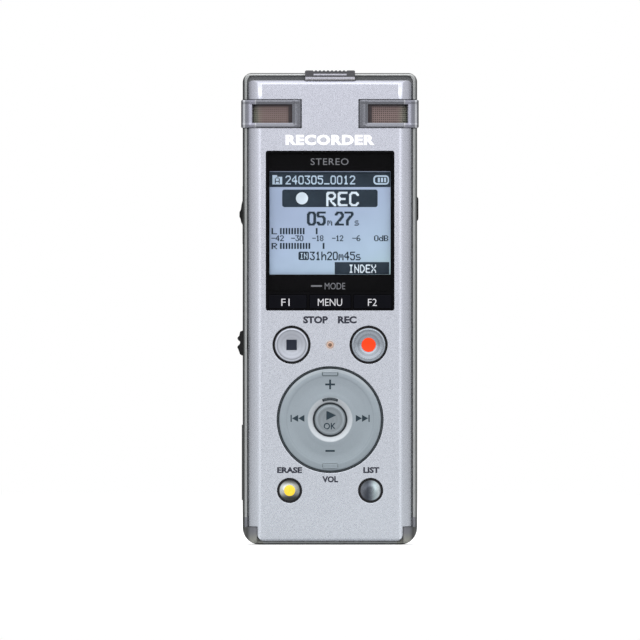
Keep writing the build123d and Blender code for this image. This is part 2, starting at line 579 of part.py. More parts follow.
# ---- sockets and switch -------------------------------------------------------------------------
jack = box(JACK_X - 3, JACK_X + 3, JACK_Y - 2.5, JACK_Y + 2.5, 92.4, 104.2)
jack += rod_z(JACK_NOSE, JACK_X, JACK_Y, 104.0, 105.95)
jack -= rod_z(JACK_BORE, JACK_X, JACK_Y, 93.0, 107)
save("ear_jack", jack)
save("mic_jack", mirror_x(jack))
save("card_socket", box(-17.85, -3.6, -2.95, MAIN_BOARD_Y0 - 0.05, 67.5, 80.9)
     - box(-18, -4.2, -2.72, -1.9, 68.65, 79.75))
save("usb_socket", box(12.3, 17.9, MAIN_BOARD_Y1, 1.75, 71.75, 79.25)
     - box(13.0, 18.5, MAIN_BOARD_Y1 + 0.25, 1.5, 72.0, 79.0)
     + box(12.5, 17.0, 0.25, 0.75, 73.0, 78.0))
save("slide_switch_body", box(-16.0, -13.4, KEY_BOARD_Y1, -2.1, 41.0, 48.9)
     - box(-17, -15.2, -3.75, -2.55, 42.2, 48.4))
save("slide_switch_lever", box(-17.2, -15.3, -3.6, -2.7, SWITCH_Z - 0.7, SWITCH_Z + 0.7))


def power_hold_knob():
    half = 2.85
    grip = [  # (height from the knob centre, rise outward from the side)
        (2.9, 0), (2.65, 0.55), (2.3, 0.68), (1.7, 0.78), (1.3, 1.15), (0.95, 1.2), (0.6, 0.95),
        (0.35, 0.62), (-0.05, 0.6), (-0.3, 0.75), (-0.65, 1.1), (-0.95, 1.25), (-1.35, 1.05),
        (-1.9, 0.85), (-2.5, 0.66), (-2.75, 0.4), (-2.9, 0)]
    points = [(-HALF - rise, SWITCH_Z + height * 0.98) for height, rise in grip]
    knob = box(-19.5, -18.9, -3.95, -1.25, SWITCH_Z - half, SWITCH_Z + half)
    knob += prism_y([(-19.4, SWITCH_Z + half)] + points + [(-19.4, SWITCH_Z - half)], -3.9, -1.3)
    # stem through the slot, with a fork over the switch lever
    knob += box(-19.2, -17.3, -3.3, -1.9, SWITCH_Z - 1.3, SWITCH_Z + 1.3)
    knob -= box(-17.9, -17.25, -3.7, -2.6, SWITCH_Z - 0.75, SWITCH_Z + 0.75)
    knob += box(-17.9, -16.4, -2.58, -1.9, SWITCH_Z - 1.3, SWITCH_Z + 1.3)
    return knob


def side_door(x0, x1, y_range, hinge, top):
    """Leaf with its hinge barrel and pins."""
    y0, y1 = y_range
    return (box(x0, x1, y0, y1, hinge[1], top) + rod_y(0.4, *hinge, y0, y1)
            + rod_y(0.27, *hinge, y0 - 0.3, y1 + 0.3))


save("power_hold_knob", power_hold_knob())

# memory card door: leaf, inner plug and outer grip
card_cover = side_door(-19.65, -18.85, CARD_Y, CARD_HINGE, CARD_TOP)
card_cover += box(-18.9, -18.15, -2.75, -1.85, 69.3, 79.2)
card_cover += prism_y([  # (x, z)
    (-19.5, 71.9), (-19.66, 71.9), (-19.98, 72.5), (-20.1, 73.2), (-20.35, 73.7),
    (-20.35, 74.7), (-20.05, 75.3), (-19.85, 76.6), (-19.66, 77.3), (-19.5, 77.3)], -3.2, -0.8)
save("card_cover", card_cover)

# data terminal door: leaf, inner plug and outer raised pad
usb_cover = side_door(18.8, 19.6, USB_Y, USB_HINGE, USB_TOP)
usb_cover += box(18.15, 18.9, -0.3, 1.25, 72.4, 78.6)
usb_cover += prism_y([  # (x, z)
    (19.5, 72.7), (19.62, 72.7), (19.9, 73.1), (19.95, 73.5),
    (19.95, 77.5), (19.9, 77.9), (19.62, 78.3), (19.5, 78.3)], -0.6, 1.5)
save("usb_cover", usb_cover)

# ---- speaker ------------------------------------------------------------------------------------
save("speaker", turned([  # (radius, y)
    (0, 3.0), (4.5, 3.0), (4.5, 3.6), (7.9, 4.2), (7.9, 5.85), (7.2, 5.85),
    (6.6, 5.4), (3.2, 5.1), (2.6, 5.5), (0, 5.7)], 0, SPEAKER_Z))
save("speaker_gasket", rod_y(7.9, 0, SPEAKER_Z, 5.87, 6.12) - rod_y(7.0, 0, SPEAKER_Z, 5, 7))
save("speaker_cloth", rod_y(7.95, 0, SPEAKER_Z, 6.12, 6.19))


def speaker_wire(x):
    path = Polyline((x, 3.1, 76.2), (x, 2.3, 75.2), (x, 0.3, 73.6), (x, -0.5, 72.6))
    section = Plane(origin=path @ 0, z_dir=path % 0) * Circle(0.25)
    return sweep(section, path=path, transition=Transition.RIGHT)


save("speaker_wires", *[speaker_wire(x) for x in (-0.6, 0.6)])


# ---- battery bay --------------------------------------------------------------------------------
def battery_tray():
    hollow = box(-5.4, 5.4, -5, 7, 6.2, 54.6)
    tray = box(-6.6, 6.6, -4.1, 6.1, 5.6, 55.8) - hollow
    tray += plate(-13.1, 13.1, 5.3, 6.1, 5.7, 58.2, 0.5) - hollow
    return tray - box(-4.2, 4.2, 3.9, 7, 5.0, 6.4)


def negative_spring():
    coil_r, wire_r = 3.1, 0.24
    spring = box(-3.8, 3.8, -2.8, 4.8, 6.3, 6.6) + box(1.6, 3.6, -4.1, -2.7, 6.3, 6.6)
    spring += rod_z(wire_r, coil_r, CELL_Y, 6.5, 6.98)
    # guards the helical sweep: without it the contact is still made
    try:
        helix = Helix(pitch=1.0, height=2.3, radius=coil_r, center=(0, CELL_Y, 6.95),
                      direction=(0, 0, 1))
        section = Plane(origin=helix @ 0, z_dir=helix % 0) * Circle(wire_r)
        spring += sweep(section, path=helix, is_frenet=True)
    except Exception:
        pass
    return spring


def battery_cell():
    cell = rod_z(CELL_R, 0, CELL_Y, CELL_Z0, 53.1) + rod_z(1.9, 0, CELL_Y, 53.0, CELL_Z1)
    rims = [e for e in cell.edges()
            if e.geom_type == GeomType.CIRCLE and abs(e.radius - CELL_R) < 1e-3]
    return soften(cell, rims, 0.4)


def battery_door():
    half = DOOR_HALF - DOOR_GAP
    door = plate(-half, half, 6.3, Y_BACK, HINGE_Z, DOOR_Z1 - DOOR_GAP, (0, 1.5))
    door += rod_x(1.0, HINGE_Y, HINGE_Z, -half, half)
    door -= rod_x(0.55, HINGE_Y, HINGE_Z, -14, 14)
    # thumb dish, arrow that shows which way the door opens, and grip ribs
    door -= Pos(0, Y_BACK + 10.6, 51.0) * Sphere(11.0)
    door -= prism_y([(-1.6, 43.2), (1.6, 43.2), (0, 45.6)], 7.02, 8)
    for i in range(4):
        z = 49.3 + i * 1.15
        door += box(-2.3, 2.3, 6.9, 7.12, z, z + 0.35)
    return door


save("battery_tray", battery_tray())
save("battery_insulator", box(-5.3, 5.3, -4.235, -4.165, 6.3, 54.5))
save("battery_positive_contact", box(-3.6, 3.6, -2.6, 4.6, 54.18, 54.48)
     + box(-3.6, -1.6, -4.1, -2.6, 54.18, 54.48))
save("battery_negative_spring", negative_spring())
save("battery_cell", battery_cell())
save("battery_door", battery_door())
save("door_hinge_pin", rod_x(0.5, HINGE_Y, HINGE_Z, -PIN_REACH + 0.05, PIN_REACH - 0.05))
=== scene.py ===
import bpy
import bmesh
import json
import math
import numpy as np
from mathutils import Vector, Matrix

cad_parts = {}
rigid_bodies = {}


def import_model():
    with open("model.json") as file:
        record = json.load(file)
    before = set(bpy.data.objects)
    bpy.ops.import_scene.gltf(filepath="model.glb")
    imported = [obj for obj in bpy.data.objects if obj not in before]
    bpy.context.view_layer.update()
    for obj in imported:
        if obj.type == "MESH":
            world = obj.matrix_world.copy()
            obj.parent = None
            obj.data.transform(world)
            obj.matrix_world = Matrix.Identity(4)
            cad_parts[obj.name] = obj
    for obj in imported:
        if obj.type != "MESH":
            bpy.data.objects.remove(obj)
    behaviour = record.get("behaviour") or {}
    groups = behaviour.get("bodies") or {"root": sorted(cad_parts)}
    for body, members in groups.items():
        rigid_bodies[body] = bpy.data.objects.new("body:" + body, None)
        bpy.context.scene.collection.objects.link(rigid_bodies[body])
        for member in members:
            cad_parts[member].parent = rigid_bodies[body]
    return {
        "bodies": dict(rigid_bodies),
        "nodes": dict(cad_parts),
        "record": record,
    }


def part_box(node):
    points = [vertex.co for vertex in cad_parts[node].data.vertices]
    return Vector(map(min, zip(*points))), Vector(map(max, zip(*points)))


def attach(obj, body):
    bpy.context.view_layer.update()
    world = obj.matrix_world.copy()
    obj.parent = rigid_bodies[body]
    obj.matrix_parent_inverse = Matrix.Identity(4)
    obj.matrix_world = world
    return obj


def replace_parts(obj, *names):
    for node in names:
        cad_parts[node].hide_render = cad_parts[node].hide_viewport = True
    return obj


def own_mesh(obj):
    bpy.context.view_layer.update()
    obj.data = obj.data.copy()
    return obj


for o in list(bpy.data.objects):
    bpy.data.objects.remove(o)

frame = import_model()
CAD = frame["nodes"]
BODIES = frame["bodies"]
BODY_OF = {n: b for b, ns in frame["record"]["behaviour"]["bodies"].items() for n in ns}
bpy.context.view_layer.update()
MM = 0.001
COL = bpy.context.scene.collection


# ================================================================================================
# node helpers
# ================================================================================================
def lin(c):
    """sRGB 0..255 to linear."""
    out = []
    for v in c:
        v = v / 255.0
        out.append(v / 12.92 if v <= 0.04045 else ((v + 0.055) / 1.055) ** 2.4)
    return tuple(out)


class Tree:
    def __init__(self, name):
        self.m = bpy.data.materials.new(name)
        self.m.use_nodes = True
        self.t = self.m.node_tree
        self.t.nodes.clear()
        self.out = self.t.nodes.new("ShaderNodeOutputMaterial")
        self.x = 0

    def node(self, kind, **props):
        n = self.t.nodes.new(kind)
        for k, v in props.items():
            setattr(n, k, v)
        return n

    def put(self, socket, value):
        if value is None:
            return
        if hasattr(value, "is_output"):
            self.t.links.new(value, socket)
        elif isinstance(value, (tuple, list)) and socket.type == "RGBA":
            socket.default_value = (value[0], value[1], value[2], 1.0)
        else:
            socket.default_value = value

    def math(self, op, a, b=None, c=None, clamp=False):
        n = self.node("ShaderNodeMath", operation=op, use_clamp=clamp)
        for i, v in enumerate((a, b, c)):
            if v is not None:
                self.put(n.inputs[i], v)
        return n.outputs[0]

    def coord(self):
        if not hasattr(self, "_c"):
            self._c = self.node("ShaderNodeTexCoord").outputs["Object"]
        return self._c

    def xyz(self):
        if not hasattr(self, "_xyz"):
            n = self.node("ShaderNodeSeparateXYZ")
            self.put(n.inputs[0], self.coord())
            self._xyz = n.outputs
        return self._xyz

    def mapped(self, scale=(1, 1, 1), loc=(0, 0, 0), rot=(0, 0, 0)):
        n = self.node("ShaderNodeMapping")
        self.put(n.inputs["Vector"], self.coord())
        n.inputs["Scale"].default_value = scale
        n.inputs["Location"].default_value = loc
        n.inputs["Rotation"].default_value = rot
        return n.outputs[0]

    def noise(self, size_mm, detail=2.0, rough=0.5, vec=None, dist=0.0):
        n = self.node("ShaderNodeTexNoise")
        self.put(n.inputs["Vector"], vec or self.coord())
        n.inputs["Scale"].default_value = 1.0 / (size_mm * MM)
        n.inputs["Detail"].default_value = detail
        n.inputs["Roughness"].default_value = rough
        n.inputs["Distortion"].default_value = dist
        return n.outputs["Fac"]

    def voronoi(self, size_mm, feature="F1", out="Distance", vec=None):
        n = self.node("ShaderNodeTexVoronoi", feature=feature)
        self.put(n.inputs["Vector"], vec or self.coord())
        n.inputs["Scale"].default_value = 1.0 / (size_mm * MM)
        return n.outputs[out]

    def remap(self, v, a, b, c, d, smooth=False):
        n = self.node("ShaderNodeMapRange", clamp=True, interpolation_type="SMOOTHSTEP" if smooth else "LINEAR")
        self.put(n.inputs[0], v)
        for i, w in enumerate((a, b, c, d)):
            self.put(n.inputs[i + 1], w)
        return n.outputs[0]

    def mix(self, fac, a, b, blend="MIX"):
        n = self.node("ShaderNodeMix", data_type="RGBA", blend_type=blend)
        self.put(n.inputs[0], fac)
        self.put(n.inputs[6], a)
        self.put(n.inputs[7], b)
        return n.outputs[2]

    def ramp(self, fac, stops, interp="LINEAR"):
        n = self.node("ShaderNodeValToRGB")
        n.color_ramp.interpolation = interp
        el = n.color_ramp.elements
        while len(el) < len(stops):
            el.new(0.5)
        for e, (p, c) in zip(el, stops):
            e.position = p
            e.color = (c[0], c[1], c[2], 1) if isinstance(c, (tuple, list)) else (c, c, c, 1)
        self.put(n.inputs[0], fac)
        return n.outputs[0]

    def radius(self, cx, cz, cy=None):
        x, y, z = self.xyz()
        dx = self.math("SUBTRACT", x, cx * MM)
        dz = self.math("SUBTRACT", z, cz * MM)
        return self.math("SQRT", self.math("ADD", self.math("MULTIPLY", dx, dx), self.math("MULTIPLY", dz, dz)))

    def bevel(self, mm, samples=4):
        n = self.node("ShaderNodeBevel", samples=samples)
        n.inputs["Radius"].default_value = mm * MM
        return n.outputs[0]

    def bump(self, height, dist_um, normal=None, strength=1.0):
        n = self.node("ShaderNodeBump")
        n.inputs["Distance"].default_value = dist_um * 1e-6
        n.inputs["Strength"].default_value = strength
        self.put(n.inputs["Height"], height)
        if normal is not None:
            self.put(n.inputs["Normal"], normal)
        return n.outputs[0]

    def principled(self, base, metal=0.0, rough=0.5, normal=None, **kw):
        n = self.node("ShaderNodeBsdfPrincipled")
        self.put(n.inputs["Base Color"], base)
        self.put(n.inputs["Metallic"], metal)
        self.put(n.inputs["Roughness"], rough)
        if normal is not None:
            self.put(n.inputs["Normal"], normal)
        for k, v in kw.items():
            self.put(n.inputs[k.replace("_", " ")], v)
        self.put(self.out.inputs["Surface"], n.outputs[0])
        return n


def surface(name, base, metal=0.0, rough=0.5, mottle=0.05, mottle_mm=2.0, grain_mm=0.12, grain_um=1.5, rough_var=0.06,
            bevel=0.0, fine=None, **kw):
    """A finished surface: colour that drifts a little, roughness that varies, and a fine surface grain in the normal."""
    t = Tree(name)
    big = t.noise(mottle_mm * 6, 3.0, 0.55)
    small = t.noise(mottle_mm * 0.12, 2.0, 0.6)
    v = t.math("ADD", t.math("MULTIPLY", big, 0.6), t.math("MULTIPLY", small, 0.4))
    lo = tuple(max(0.0, c * (1 - mottle)) for c in base)
    hi = tuple(min(1.0, c * (1 + mottle)) for c in base)
    colour = t.ramp(v, [(0.35, lo), (0.65, hi)])
    r = t.remap(t.noise(mottle_mm * 2.0, 3.0), 0.3, 0.7, max(0.02, rough - rough_var), min(1.0, rough + rough_var))
    normal = t.bevel(bevel) if bevel else None
    g = t.noise(grain_mm, 3.0, 0.6)
    normal = t.bump(g, grain_um, normal)
    if fine:
        normal = t.bump(fine(t), kw.pop("fine_um", 4.0), normal)
    t.principled(colour, metal, r, normal, **kw)
    return t.m


def hole_wall_painted_shade_mask(t, x_lim=15.2, z_lo=3.0, z_hi=103.0, y_hi=-4.0):
    """1 on the walls of openings cut straight through a front part, which are painted near-black as painted shade in
    the gaps round the keys.
    """
    x, y, z = t.xyz()
    tc = t.node("ShaderNodeTexCoord")
    gn = t.node("ShaderNodeSeparateXYZ")
    t.put(gn.inputs[0], tc.outputs["Normal"])
    flat = t.math("LESS_THAN", t.math("ABSOLUTE", gn.outputs[1]), 0.6)
    inside = t.math("MULTIPLY", t.math("LESS_THAN", t.math("ABSOLUTE", x), x_lim * MM), t.math("MULTIPLY", t.math("GREATER_THAN", z, z_lo * MM), t.math("LESS_THAN", z, z_hi * MM)))
    return t.math("MULTIPLY", flat, inside)


def metal_paint(name, base, rough=0.36, metal=0.85, flake=0.06, bevel=0.08, coat=0.12, grain_um=1.0, split=None, walls=False, fine=0.5, face_on=None, **kw):
    """Metallic paint: aluminium flakes of two sizes under a thin satin lacquer with slight orange peel."""
    t = Tree(name)
    f1 = t.voronoi(0.11, out="Color")
    sep = t.node("ShaderNodeSeparateXYZ")
    t.put(sep.inputs[0], f1)
    spark = t.remap(sep.outputs[0], 0.0, 1.0, 1.0 - flake, 1.0 + flake)
    soft = t.remap(t.noise(1.6, 4.0, 0.6), 0.3, 0.7, 1.0 - flake * 0.45, 1.0 + flake * 0.45)
    wide = t.remap(t.noise(14.0, 2.0), 0.3, 0.7, 0.985, 1.015)
    k = t.math("MULTIPLY", t.math("MULTIPLY", spark, soft), wide)
    c = t.node("ShaderNodeVectorMath", operation="SCALE")
    if split:
        t.put(c.inputs[0], split(t))
    else:
        c.inputs[0].default_value = base
    t.put(c.inputs["Scale"], k)
    colour = c.outputs[0]
    r = t.remap(t.noise(0.5, 3.0), 0.3, 0.7, rough - 0.025, rough + 0.025)
    normal = t.bevel(bevel) if bevel else None
    if face_on:
        lean = t.node("ShaderNodeVectorMath", operation="SCALE")
        lean.inputs[0].default_value = (0.0, -2.0, 0.0)
        t.put(lean.inputs["Scale"], face_on(t))
        both = t.node("ShaderNodeVectorMath", operation="ADD")
        t.put(both.inputs[0], normal)
        t.put(both.inputs[1], lean.outputs[0])
        unit = t.node("ShaderNodeVectorMath", operation="NORMALIZE")
        t.put(unit.inputs[0], both.outputs[0])
        normal = unit.outputs[0]
    normal = t.bump(t.noise(0.9, 2.0, 0.5), grain_um * 1.2, normal)
    if fine:
        normal = t.bump(t.noise(0.12, 2.0), grain_um * fine * 0.3, normal)
    m = metal
    # painted shade: the walls of the openings are painted near-black and not metallic, so the gaps round the keys read
    # dark
    if walls:
        w = hole_wall_painted_shade_mask(t)
        colour = t.mix(w, colour, (0.008, 0.008, 0.009))
        m = t.math("MULTIPLY", t.math("SUBTRACT", 1.0, w), metal)
        coat = t.math("MULTIPLY", t.math("SUBTRACT", 1.0, w), coat)
    t.principled(colour, m, r, normal, Coat_Weight=coat, Coat_Roughness=0.22, **kw)
    return t.m


# ================================================================================================
# materials
# ================================================================================================
M = {}
def front_silver_with_painted_light(t):
    """Silver painted lighter, and a touch more violet, toward the top end as painted light from above, warmer round the
    lamp, with painted shade in a dark band along the rounded top edge.
    """
    z = t.xyz()[2]
    # painted light: lighter toward the top end
    c = t.mix(t.remap(z, 0.0, 105 * MM, 0.0, 1.0), (0.474, 0.503, 0.551), (0.572, 0.585, 0.668))
    c = t.mix(t.remap(t.radius(0.0, 44.9), 0.78 * MM, 1.30 * MM, 0.55, 0.0, True), c, (0.72, 0.58, 0.50))
    # painted shade: dark band on the rounded top edge above z 104.12 mm
    return t.mix(t.remap(z, 104.12 * MM, 104.36 * MM, 0.0, 1.0, True), c, (0.17, 0.175, 0.195))


M["front"] = metal_paint("paint_front_silver", (0.62, 0.635, 0.70), rough=0.27, metal=0.90, flake=0.014, bevel=0.08, coat=0.05, split=front_silver_with_painted_light, walls=True, fine=0.08, grain_um=0.35)
def band_grey_with_painted_shade(t):
    """Grey band front with painted light: painted shade on the outer side and on faces turned away from the front,
    darker toward the left; a painted highlight line along the top; painted shade on the shelf behind the cover's top
    edge and on the lip in the gap behind the cover; and darker corner blocks at the foot, lighter toward the bottom.
    """
    x, y, z = t.xyz()
    ax = t.math("ABSOLUTE", x)
    nrm = t.node("ShaderNodeSeparateXYZ")
    t.put(nrm.inputs[0], t.node("ShaderNodeTexCoord").outputs["Normal"])
    ny = nrm.outputs[1]
    # faces turned from the front get painted shade below
    front = t.remap(ny, -0.80, -0.62, 1.0, 0.0)
    c = t.mix(t.noise(5.0, 2.0), (0.30, 0.312, 0.312), (0.335, 0.345, 0.345))
    # painted shade on the shelf behind the cover's top edge
    shelf = t.math("MULTIPLY", t.remap(z, 104.2 * MM, 104.5 * MM, 0.0, 1.0), t.math("LESS_THAN", ax, 18.2 * MM))
    c = t.mix(shelf, c, t.ramp(t.remap(z, 104.4 * MM, 105.7 * MM, 0.0, 1.0), [(0.0, (0.055, 0.058, 0.058)), (0.5, (0.055, 0.058, 0.058)), (1.0, (0.20, 0.207, 0.207))]))
    # painted highlight: a bright line along the top rounding
    line = t.math("MULTIPLY", t.remap(z, 105.42 * MM, 105.55 * MM, 0.0, 1.0), t.remap(z, 105.72 * MM, 105.82 * MM, 1.0, 0.0))
    c = t.mix(line, c, (0.46, 0.47, 0.47))
    # painted shade on the lip in the gap behind the cover
    lip = t.math("MULTIPLY", t.math("LESS_THAN", ax, 18.7 * MM), t.math("MULTIPLY", t.math("LESS_THAN", z, 105.6 * MM), t.math("GREATER_THAN", y, -4.2 * MM)))
    c = t.mix(lip, c, (0.12, 0.124, 0.13))
    block = t.math("MULTIPLY", t.math("LESS_THAN", z, 6.2 * MM), t.math("GREATER_THAN", ax, 15.0 * MM))
    foot = t.remap(z, 0.6 * MM, 3.2 * MM, 0.0, 1.0, True)
    c = t.mix(block, c, t.mix(foot, (0.27, 0.275, 0.25), (0.165, 0.170, 0.188)))
    # painted shade: the outer edge painted dark, darker on the left
    c = t.mix(t.math("MULTIPLY", t.remap(ax, 19.0 * MM, 19.3 * MM, 0.0, 1.0), t.remap(x, -1 * MM, 1 * MM, 1.0, 0.72)), c, (0.030, 0.032, 0.032))
    # painted shade on the sides, top and foot faces turned away from the front
    out = t.math("MAXIMUM", t.math("GREATER_THAN", ax, 18.9 * MM), t.math("MAXIMUM", t.math("GREATER_THAN", z, 105.6 * MM), t.math("LESS_THAN", z, 4.4 * MM)))
    side = t.math("MULTIPLY", out, t.math("SUBTRACT", 1.0, front))
    return t.mix(side, c, (0.068, 0.071, 0.068))


M["band"] = metal_paint("paint_band_grey", (0.30, 0.305, 0.30), rough=0.33, metal=0.8, flake=0.05, bevel=0.10, split=band_grey_with_painted_shade, fine=0.3)
M["rear"] = metal_paint("paint_rear_grey", (0.24, 0.245, 0.25), rough=0.42, metal=0.6, flake=0.07, bevel=0.12, grain_um=2.2)
def guard_with_painted_light(t):
    """Dark satin guard with painted light: painted lighter on its angled corner, a painted highlight line before the
    painted dark side, and painted light and shade bands along its rolled edges and the slope round the window.
    """
    ax = t.math("ABSOLUTE", t.xyz()[0])
    z = t.xyz()[2]
    k = t.remap(ax, 16.0 * MM, 20.0 * MM, 0.0, 1.0)
    # painted light: lighter angled corner, a painted highlight line at the bend and painted shade on the side
    c = t.ramp(k, [(0.0, (0.20, 0.206, 0.235)), (0.14, (0.20, 0.206, 0.235)), (0.18, (0.55, 0.56, 0.60)), (0.24, (0.34, 0.345, 0.41)), (0.45, (0.36, 0.365, 0.44)), (0.70, (0.295, 0.305, 0.35)),
                   (0.765, (0.31, 0.32, 0.365)), (0.785, (0.72, 0.74, 0.79)), (0.89, (0.60, 0.62, 0.66)), (0.92, (0.06, 0.06, 0.075)), (1.0, (0.05, 0.05, 0.06))])
    # painted light and shade bands across the rolled edges and the slope round the window, by height and along the
    # front
    up = t.ramp(t.remap(z, 93.6 * MM, 100.1 * MM, 0.0, 1.0), [((a - 93.6) / 6.5, v / 1.5) for a, v in
                ((93.66, 0.45), (93.85, 0.70), (94.3, 0.92), (94.48, 1.35), (94.70, 1.30), (94.85, 1.0), (98.90, 1.0), (99.08, 0.66), (99.37, 0.66), (99.52, 1.0), (99.68, 1.28), (99.84, 0.9), (99.97, 0.45))])
    along = t.ramp(t.remap(ax, 6.4 * MM, 9.0 * MM, 0.0, 1.0), [((a - 6.4) / 2.6, v / 1.5) for a, v in
                   ((6.48, 0.50), (6.75, 0.74), (7.25, 0.80), (7.50, 1.15), (7.75, 1.12), (8.02, 0.76), (8.25, 1.1), (8.42, 1.25), (8.60, 1.0))])
    inner = t.math("LESS_THAN", ax, 8.5 * MM)
    f = t.math("ADD", t.math("MULTIPLY", t.math("SUBTRACT", 1.0, inner), up), t.math("MULTIPLY", inner, t.math("MINIMUM", up, along)))
    f = t.math("MULTIPLY", f, 1.5)
    n = t.node("ShaderNodeVectorMath", operation="SCALE")
    t.put(n.inputs[0], c)
    t.put(n.inputs["Scale"], f)
    return n.outputs[0]


M["guard"] = metal_paint("guard_satin_metal", (0.2, 0.2, 0.2), rough=0.26, metal=0.9, flake=0.03, bevel=0.06, coat=0.1, fine=0.2, split=guard_with_painted_light)
def trim_with_painted_highlight(t):
    # painted highlight: a bright line at z 105.40 to 105.82 mm, the same line as on the band; the trim is also lighter
    # below z 105.10 mm
    z = t.xyz()[2]
    a = t.math("MULTIPLY", t.remap(z, 105.40 * MM, 105.47 * MM, 0.0, 1.0), t.remap(z, 105.76 * MM, 105.82 * MM, 1.0, 0.0))
    b = t.remap(z, 105.02 * MM, 105.10 * MM, 1.0, 0.0)
    return t.mix(t.math("MAXIMUM", a, b), (0.07, 0.07, 0.08), (0.50, 0.50, 0.565))


def housing_split(t):
    z = t.xyz()[2]
    return t.mix(t.remap(z, 104.62 * MM, 104.56 * MM, 0.0, 1.0), (0.07, 0.07, 0.078), (0.26, 0.26, 0.27))


M["trim"] = metal_paint("trim_metal_painted_highlight", (0.60, 0.60, 0.66), rough=0.28, metal=0.9, flake=0.03, bevel=0.03, split=trim_with_painted_highlight)
M["mic_housing"] = metal_paint("mic_housing_dark", (0.075, 0.075, 0.082), rough=0.34, metal=0.5, flake=0.05, bevel=0.10, coat=0.05, split=housing_split)
M["gloss_black"] = surface("moulded_gloss_black", (0.0027, 0.0026, 0.0034), 0.0, 0.07, mottle=0.15, grain_mm=0.5, grain_um=0.2, rough_var=0.02, bevel=0.06, Specular_IOR_Level=0.05)
M["key_black"] = surface("moulded_key_black", (0.0026, 0.0028, 0.0050), 0.0, 0.20, mottle=0.15, grain_mm=0.10, grain_um=0.6, rough_var=0.04, bevel=0.12, Specular_IOR_Level=0.06)
M["matte_black"] = surface("moulded_matte_black", (0.020, 0.0205, 0.021), 0.0, 0.55, mottle=0.18, grain_mm=0.10, grain_um=5.0, rough_var=0.08, bevel=0.08)
M["knob"] = surface("moulded_knob_black", (0.0065, 0.0065, 0.007), 0.0, 0.50, mottle=0.18, grain_mm=0.10, grain_um=5.0, rough_var=0.08, bevel=0.08, Specular_IOR_Level=0.15)
M["rubber"] = surface("rubber_black", (0.016, 0.016, 0.016), 0.0, 0.75, mottle=0.2, grain_mm=0.2, grain_um=6.0)
M["silicone"] = surface("silicone_grey", (0.20, 0.20, 0.21), 0.0, 0.7, mottle=0.08, grain_mm=0.3, grain_um=4.0, Subsurface_Weight=0.05)
M["tin"] = surface("tin_plate", (0.62, 0.61, 0.58), 1.0, 0.33, mottle=0.08, grain_mm=0.25, grain_um=1.5, bevel=0.05)
M["nickel"] = surface("nickel_plate", (0.68, 0.66, 0.62), 1.0, 0.24, mottle=0.06, grain_mm=0.3, grain_um=1.0, bevel=0.05)
M["screw"] = surface("screw_black_zinc", (0.06, 0.06, 0.065), 0.9, 0.34, mottle=0.2, mottle_mm=0.6, grain_mm=0.08, grain_um=1.5, bevel=0.05)
M["chip"] = surface("moulded_epoxy_chip", (0.022, 0.022, 0.024), 0.0, 0.5, mottle=0.2, grain_mm=0.05, grain_um=4.0, bevel=0.05)
M["white_part"] = surface("moulded_white_guide", (0.75, 0.76, 0.74), 0.0, 0.4, mottle=0.04, grain_mm=0.3, grain_um=1.0, bevel=0.05)
M["tray"] = surface("moulded_tray_grey", (0.045, 0.046, 0.049), 0.0, 0.48, mottle=0.15, grain_mm=0.12, grain_um=4.0, bevel=0.1)
# painted shade: dark sleeves put in the key gaps where there is only shade
M["key_gap_shade"] = surface("liner_black", (0.004, 0.004, 0.005), 0.0, 0.8, mottle=0.2, grain_mm=0.2, grain_um=2.0, Specular_IOR_Level=0.1)
M["liner_ring"] = surface("liner_ring_shadow", (0.055, 0.070, 0.082), 0.0, 0.8, mottle=0.2, grain_mm=0.2, grain_um=2.0, Specular_IOR_Level=0.1)
M["cone"] = surface("pressed_cone_dark", (0.03, 0.03, 0.033), 0.0, 0.6, mottle=0.2, grain_mm=0.15, grain_um=5.0)
M["wire"] = surface("wire_insulation_red", (0.42, 0.02, 0.015), 0.0, 0.42, mottle=0.1, grain_mm=0.2, grain_um=1.5)
M["mic_metal"] = surface("electret_can", (0.72, 0.71, 0.70), 1.0, 0.28, mottle=0.05, grain_mm=0.2, grain_um=1.0, bevel=0.05)
M["lamp_white"] = surface("lamp_package", (0.7, 0.66, 0.48), 0.0, 0.35, mottle=0.05)

M["print_black"] = surface("screen_print_black", (0.0024, 0.0024, 0.0030), 0.0, 0.45, mottle=0.15, grain_mm=0.1, grain_um=0.5, Specular_IOR_Level=0.04)

# printed inks
M["ink_dark"] = surface("ink_dark_grey", lin((50, 52, 62)), 0.0, 0.5, mottle=0.12, mottle_mm=0.5, grain_mm=0.05, grain_um=0.6, Specular_IOR_Level=0.08)
M["ink_ring"] = surface("ink_ring_grey", lin((44, 56, 64)), 0.0, 0.5, mottle=0.12, mottle_mm=0.5, grain_mm=0.05, grain_um=0.6, Specular_IOR_Level=0.08)
# painted light: the white ink glows a little though it is no lamp
M["ink_white_painted_glow"] = surface("ink_white_painted_glow", (0.93, 0.93, 0.94), 0.0, 0.42, mottle=0.02, mottle_mm=0.5, grain_mm=0.05, grain_um=0.6, Emission_Color=(1, 1, 1, 1), Emission_Strength=0.12)
M["ink_pale"] = surface("ink_pale_grey", lin((205, 205, 210)), 0.0, 0.45, mottle=0.05, mottle_mm=0.5, grain_mm=0.05, grain_um=0.6)
M["ink_panel"] = surface("ink_panel_grey", lin((104, 106, 112)), 0.0, 0.45, mottle=0.08, mottle_mm=0.5, grain_mm=0.05, grain_um=0.6)
M["ink_stop"] = surface("ink_stop_mark", lin((34, 38, 50)), 0.0, 0.35, mottle=0.15, mottle_mm=0.6, grain_mm=0.08, grain_um=0.8, Specular_IOR_Level=0.1)
# painted light: the red enamel glows a little though it is no lamp
M["ink_red"] = surface("enamel_rec_red_painted_glow", lin((255, 62, 18)), 0.0, 0.34, mottle=0.06, mottle_mm=0.7, grain_mm=0.2, grain_um=1.0, Specular_IOR_Level=0.15,
                       Emission_Color=(1.0, 0.09, 0.015), Emission_Strength=0.10)
M["ink_yellow"] = surface("enamel_erase_yellow", lin((250, 212, 30)), 0.0, 0.28, mottle=0.06, mottle_mm=0.7, grain_mm=0.2, grain_um=1.0, Coat_Weight=0.5)


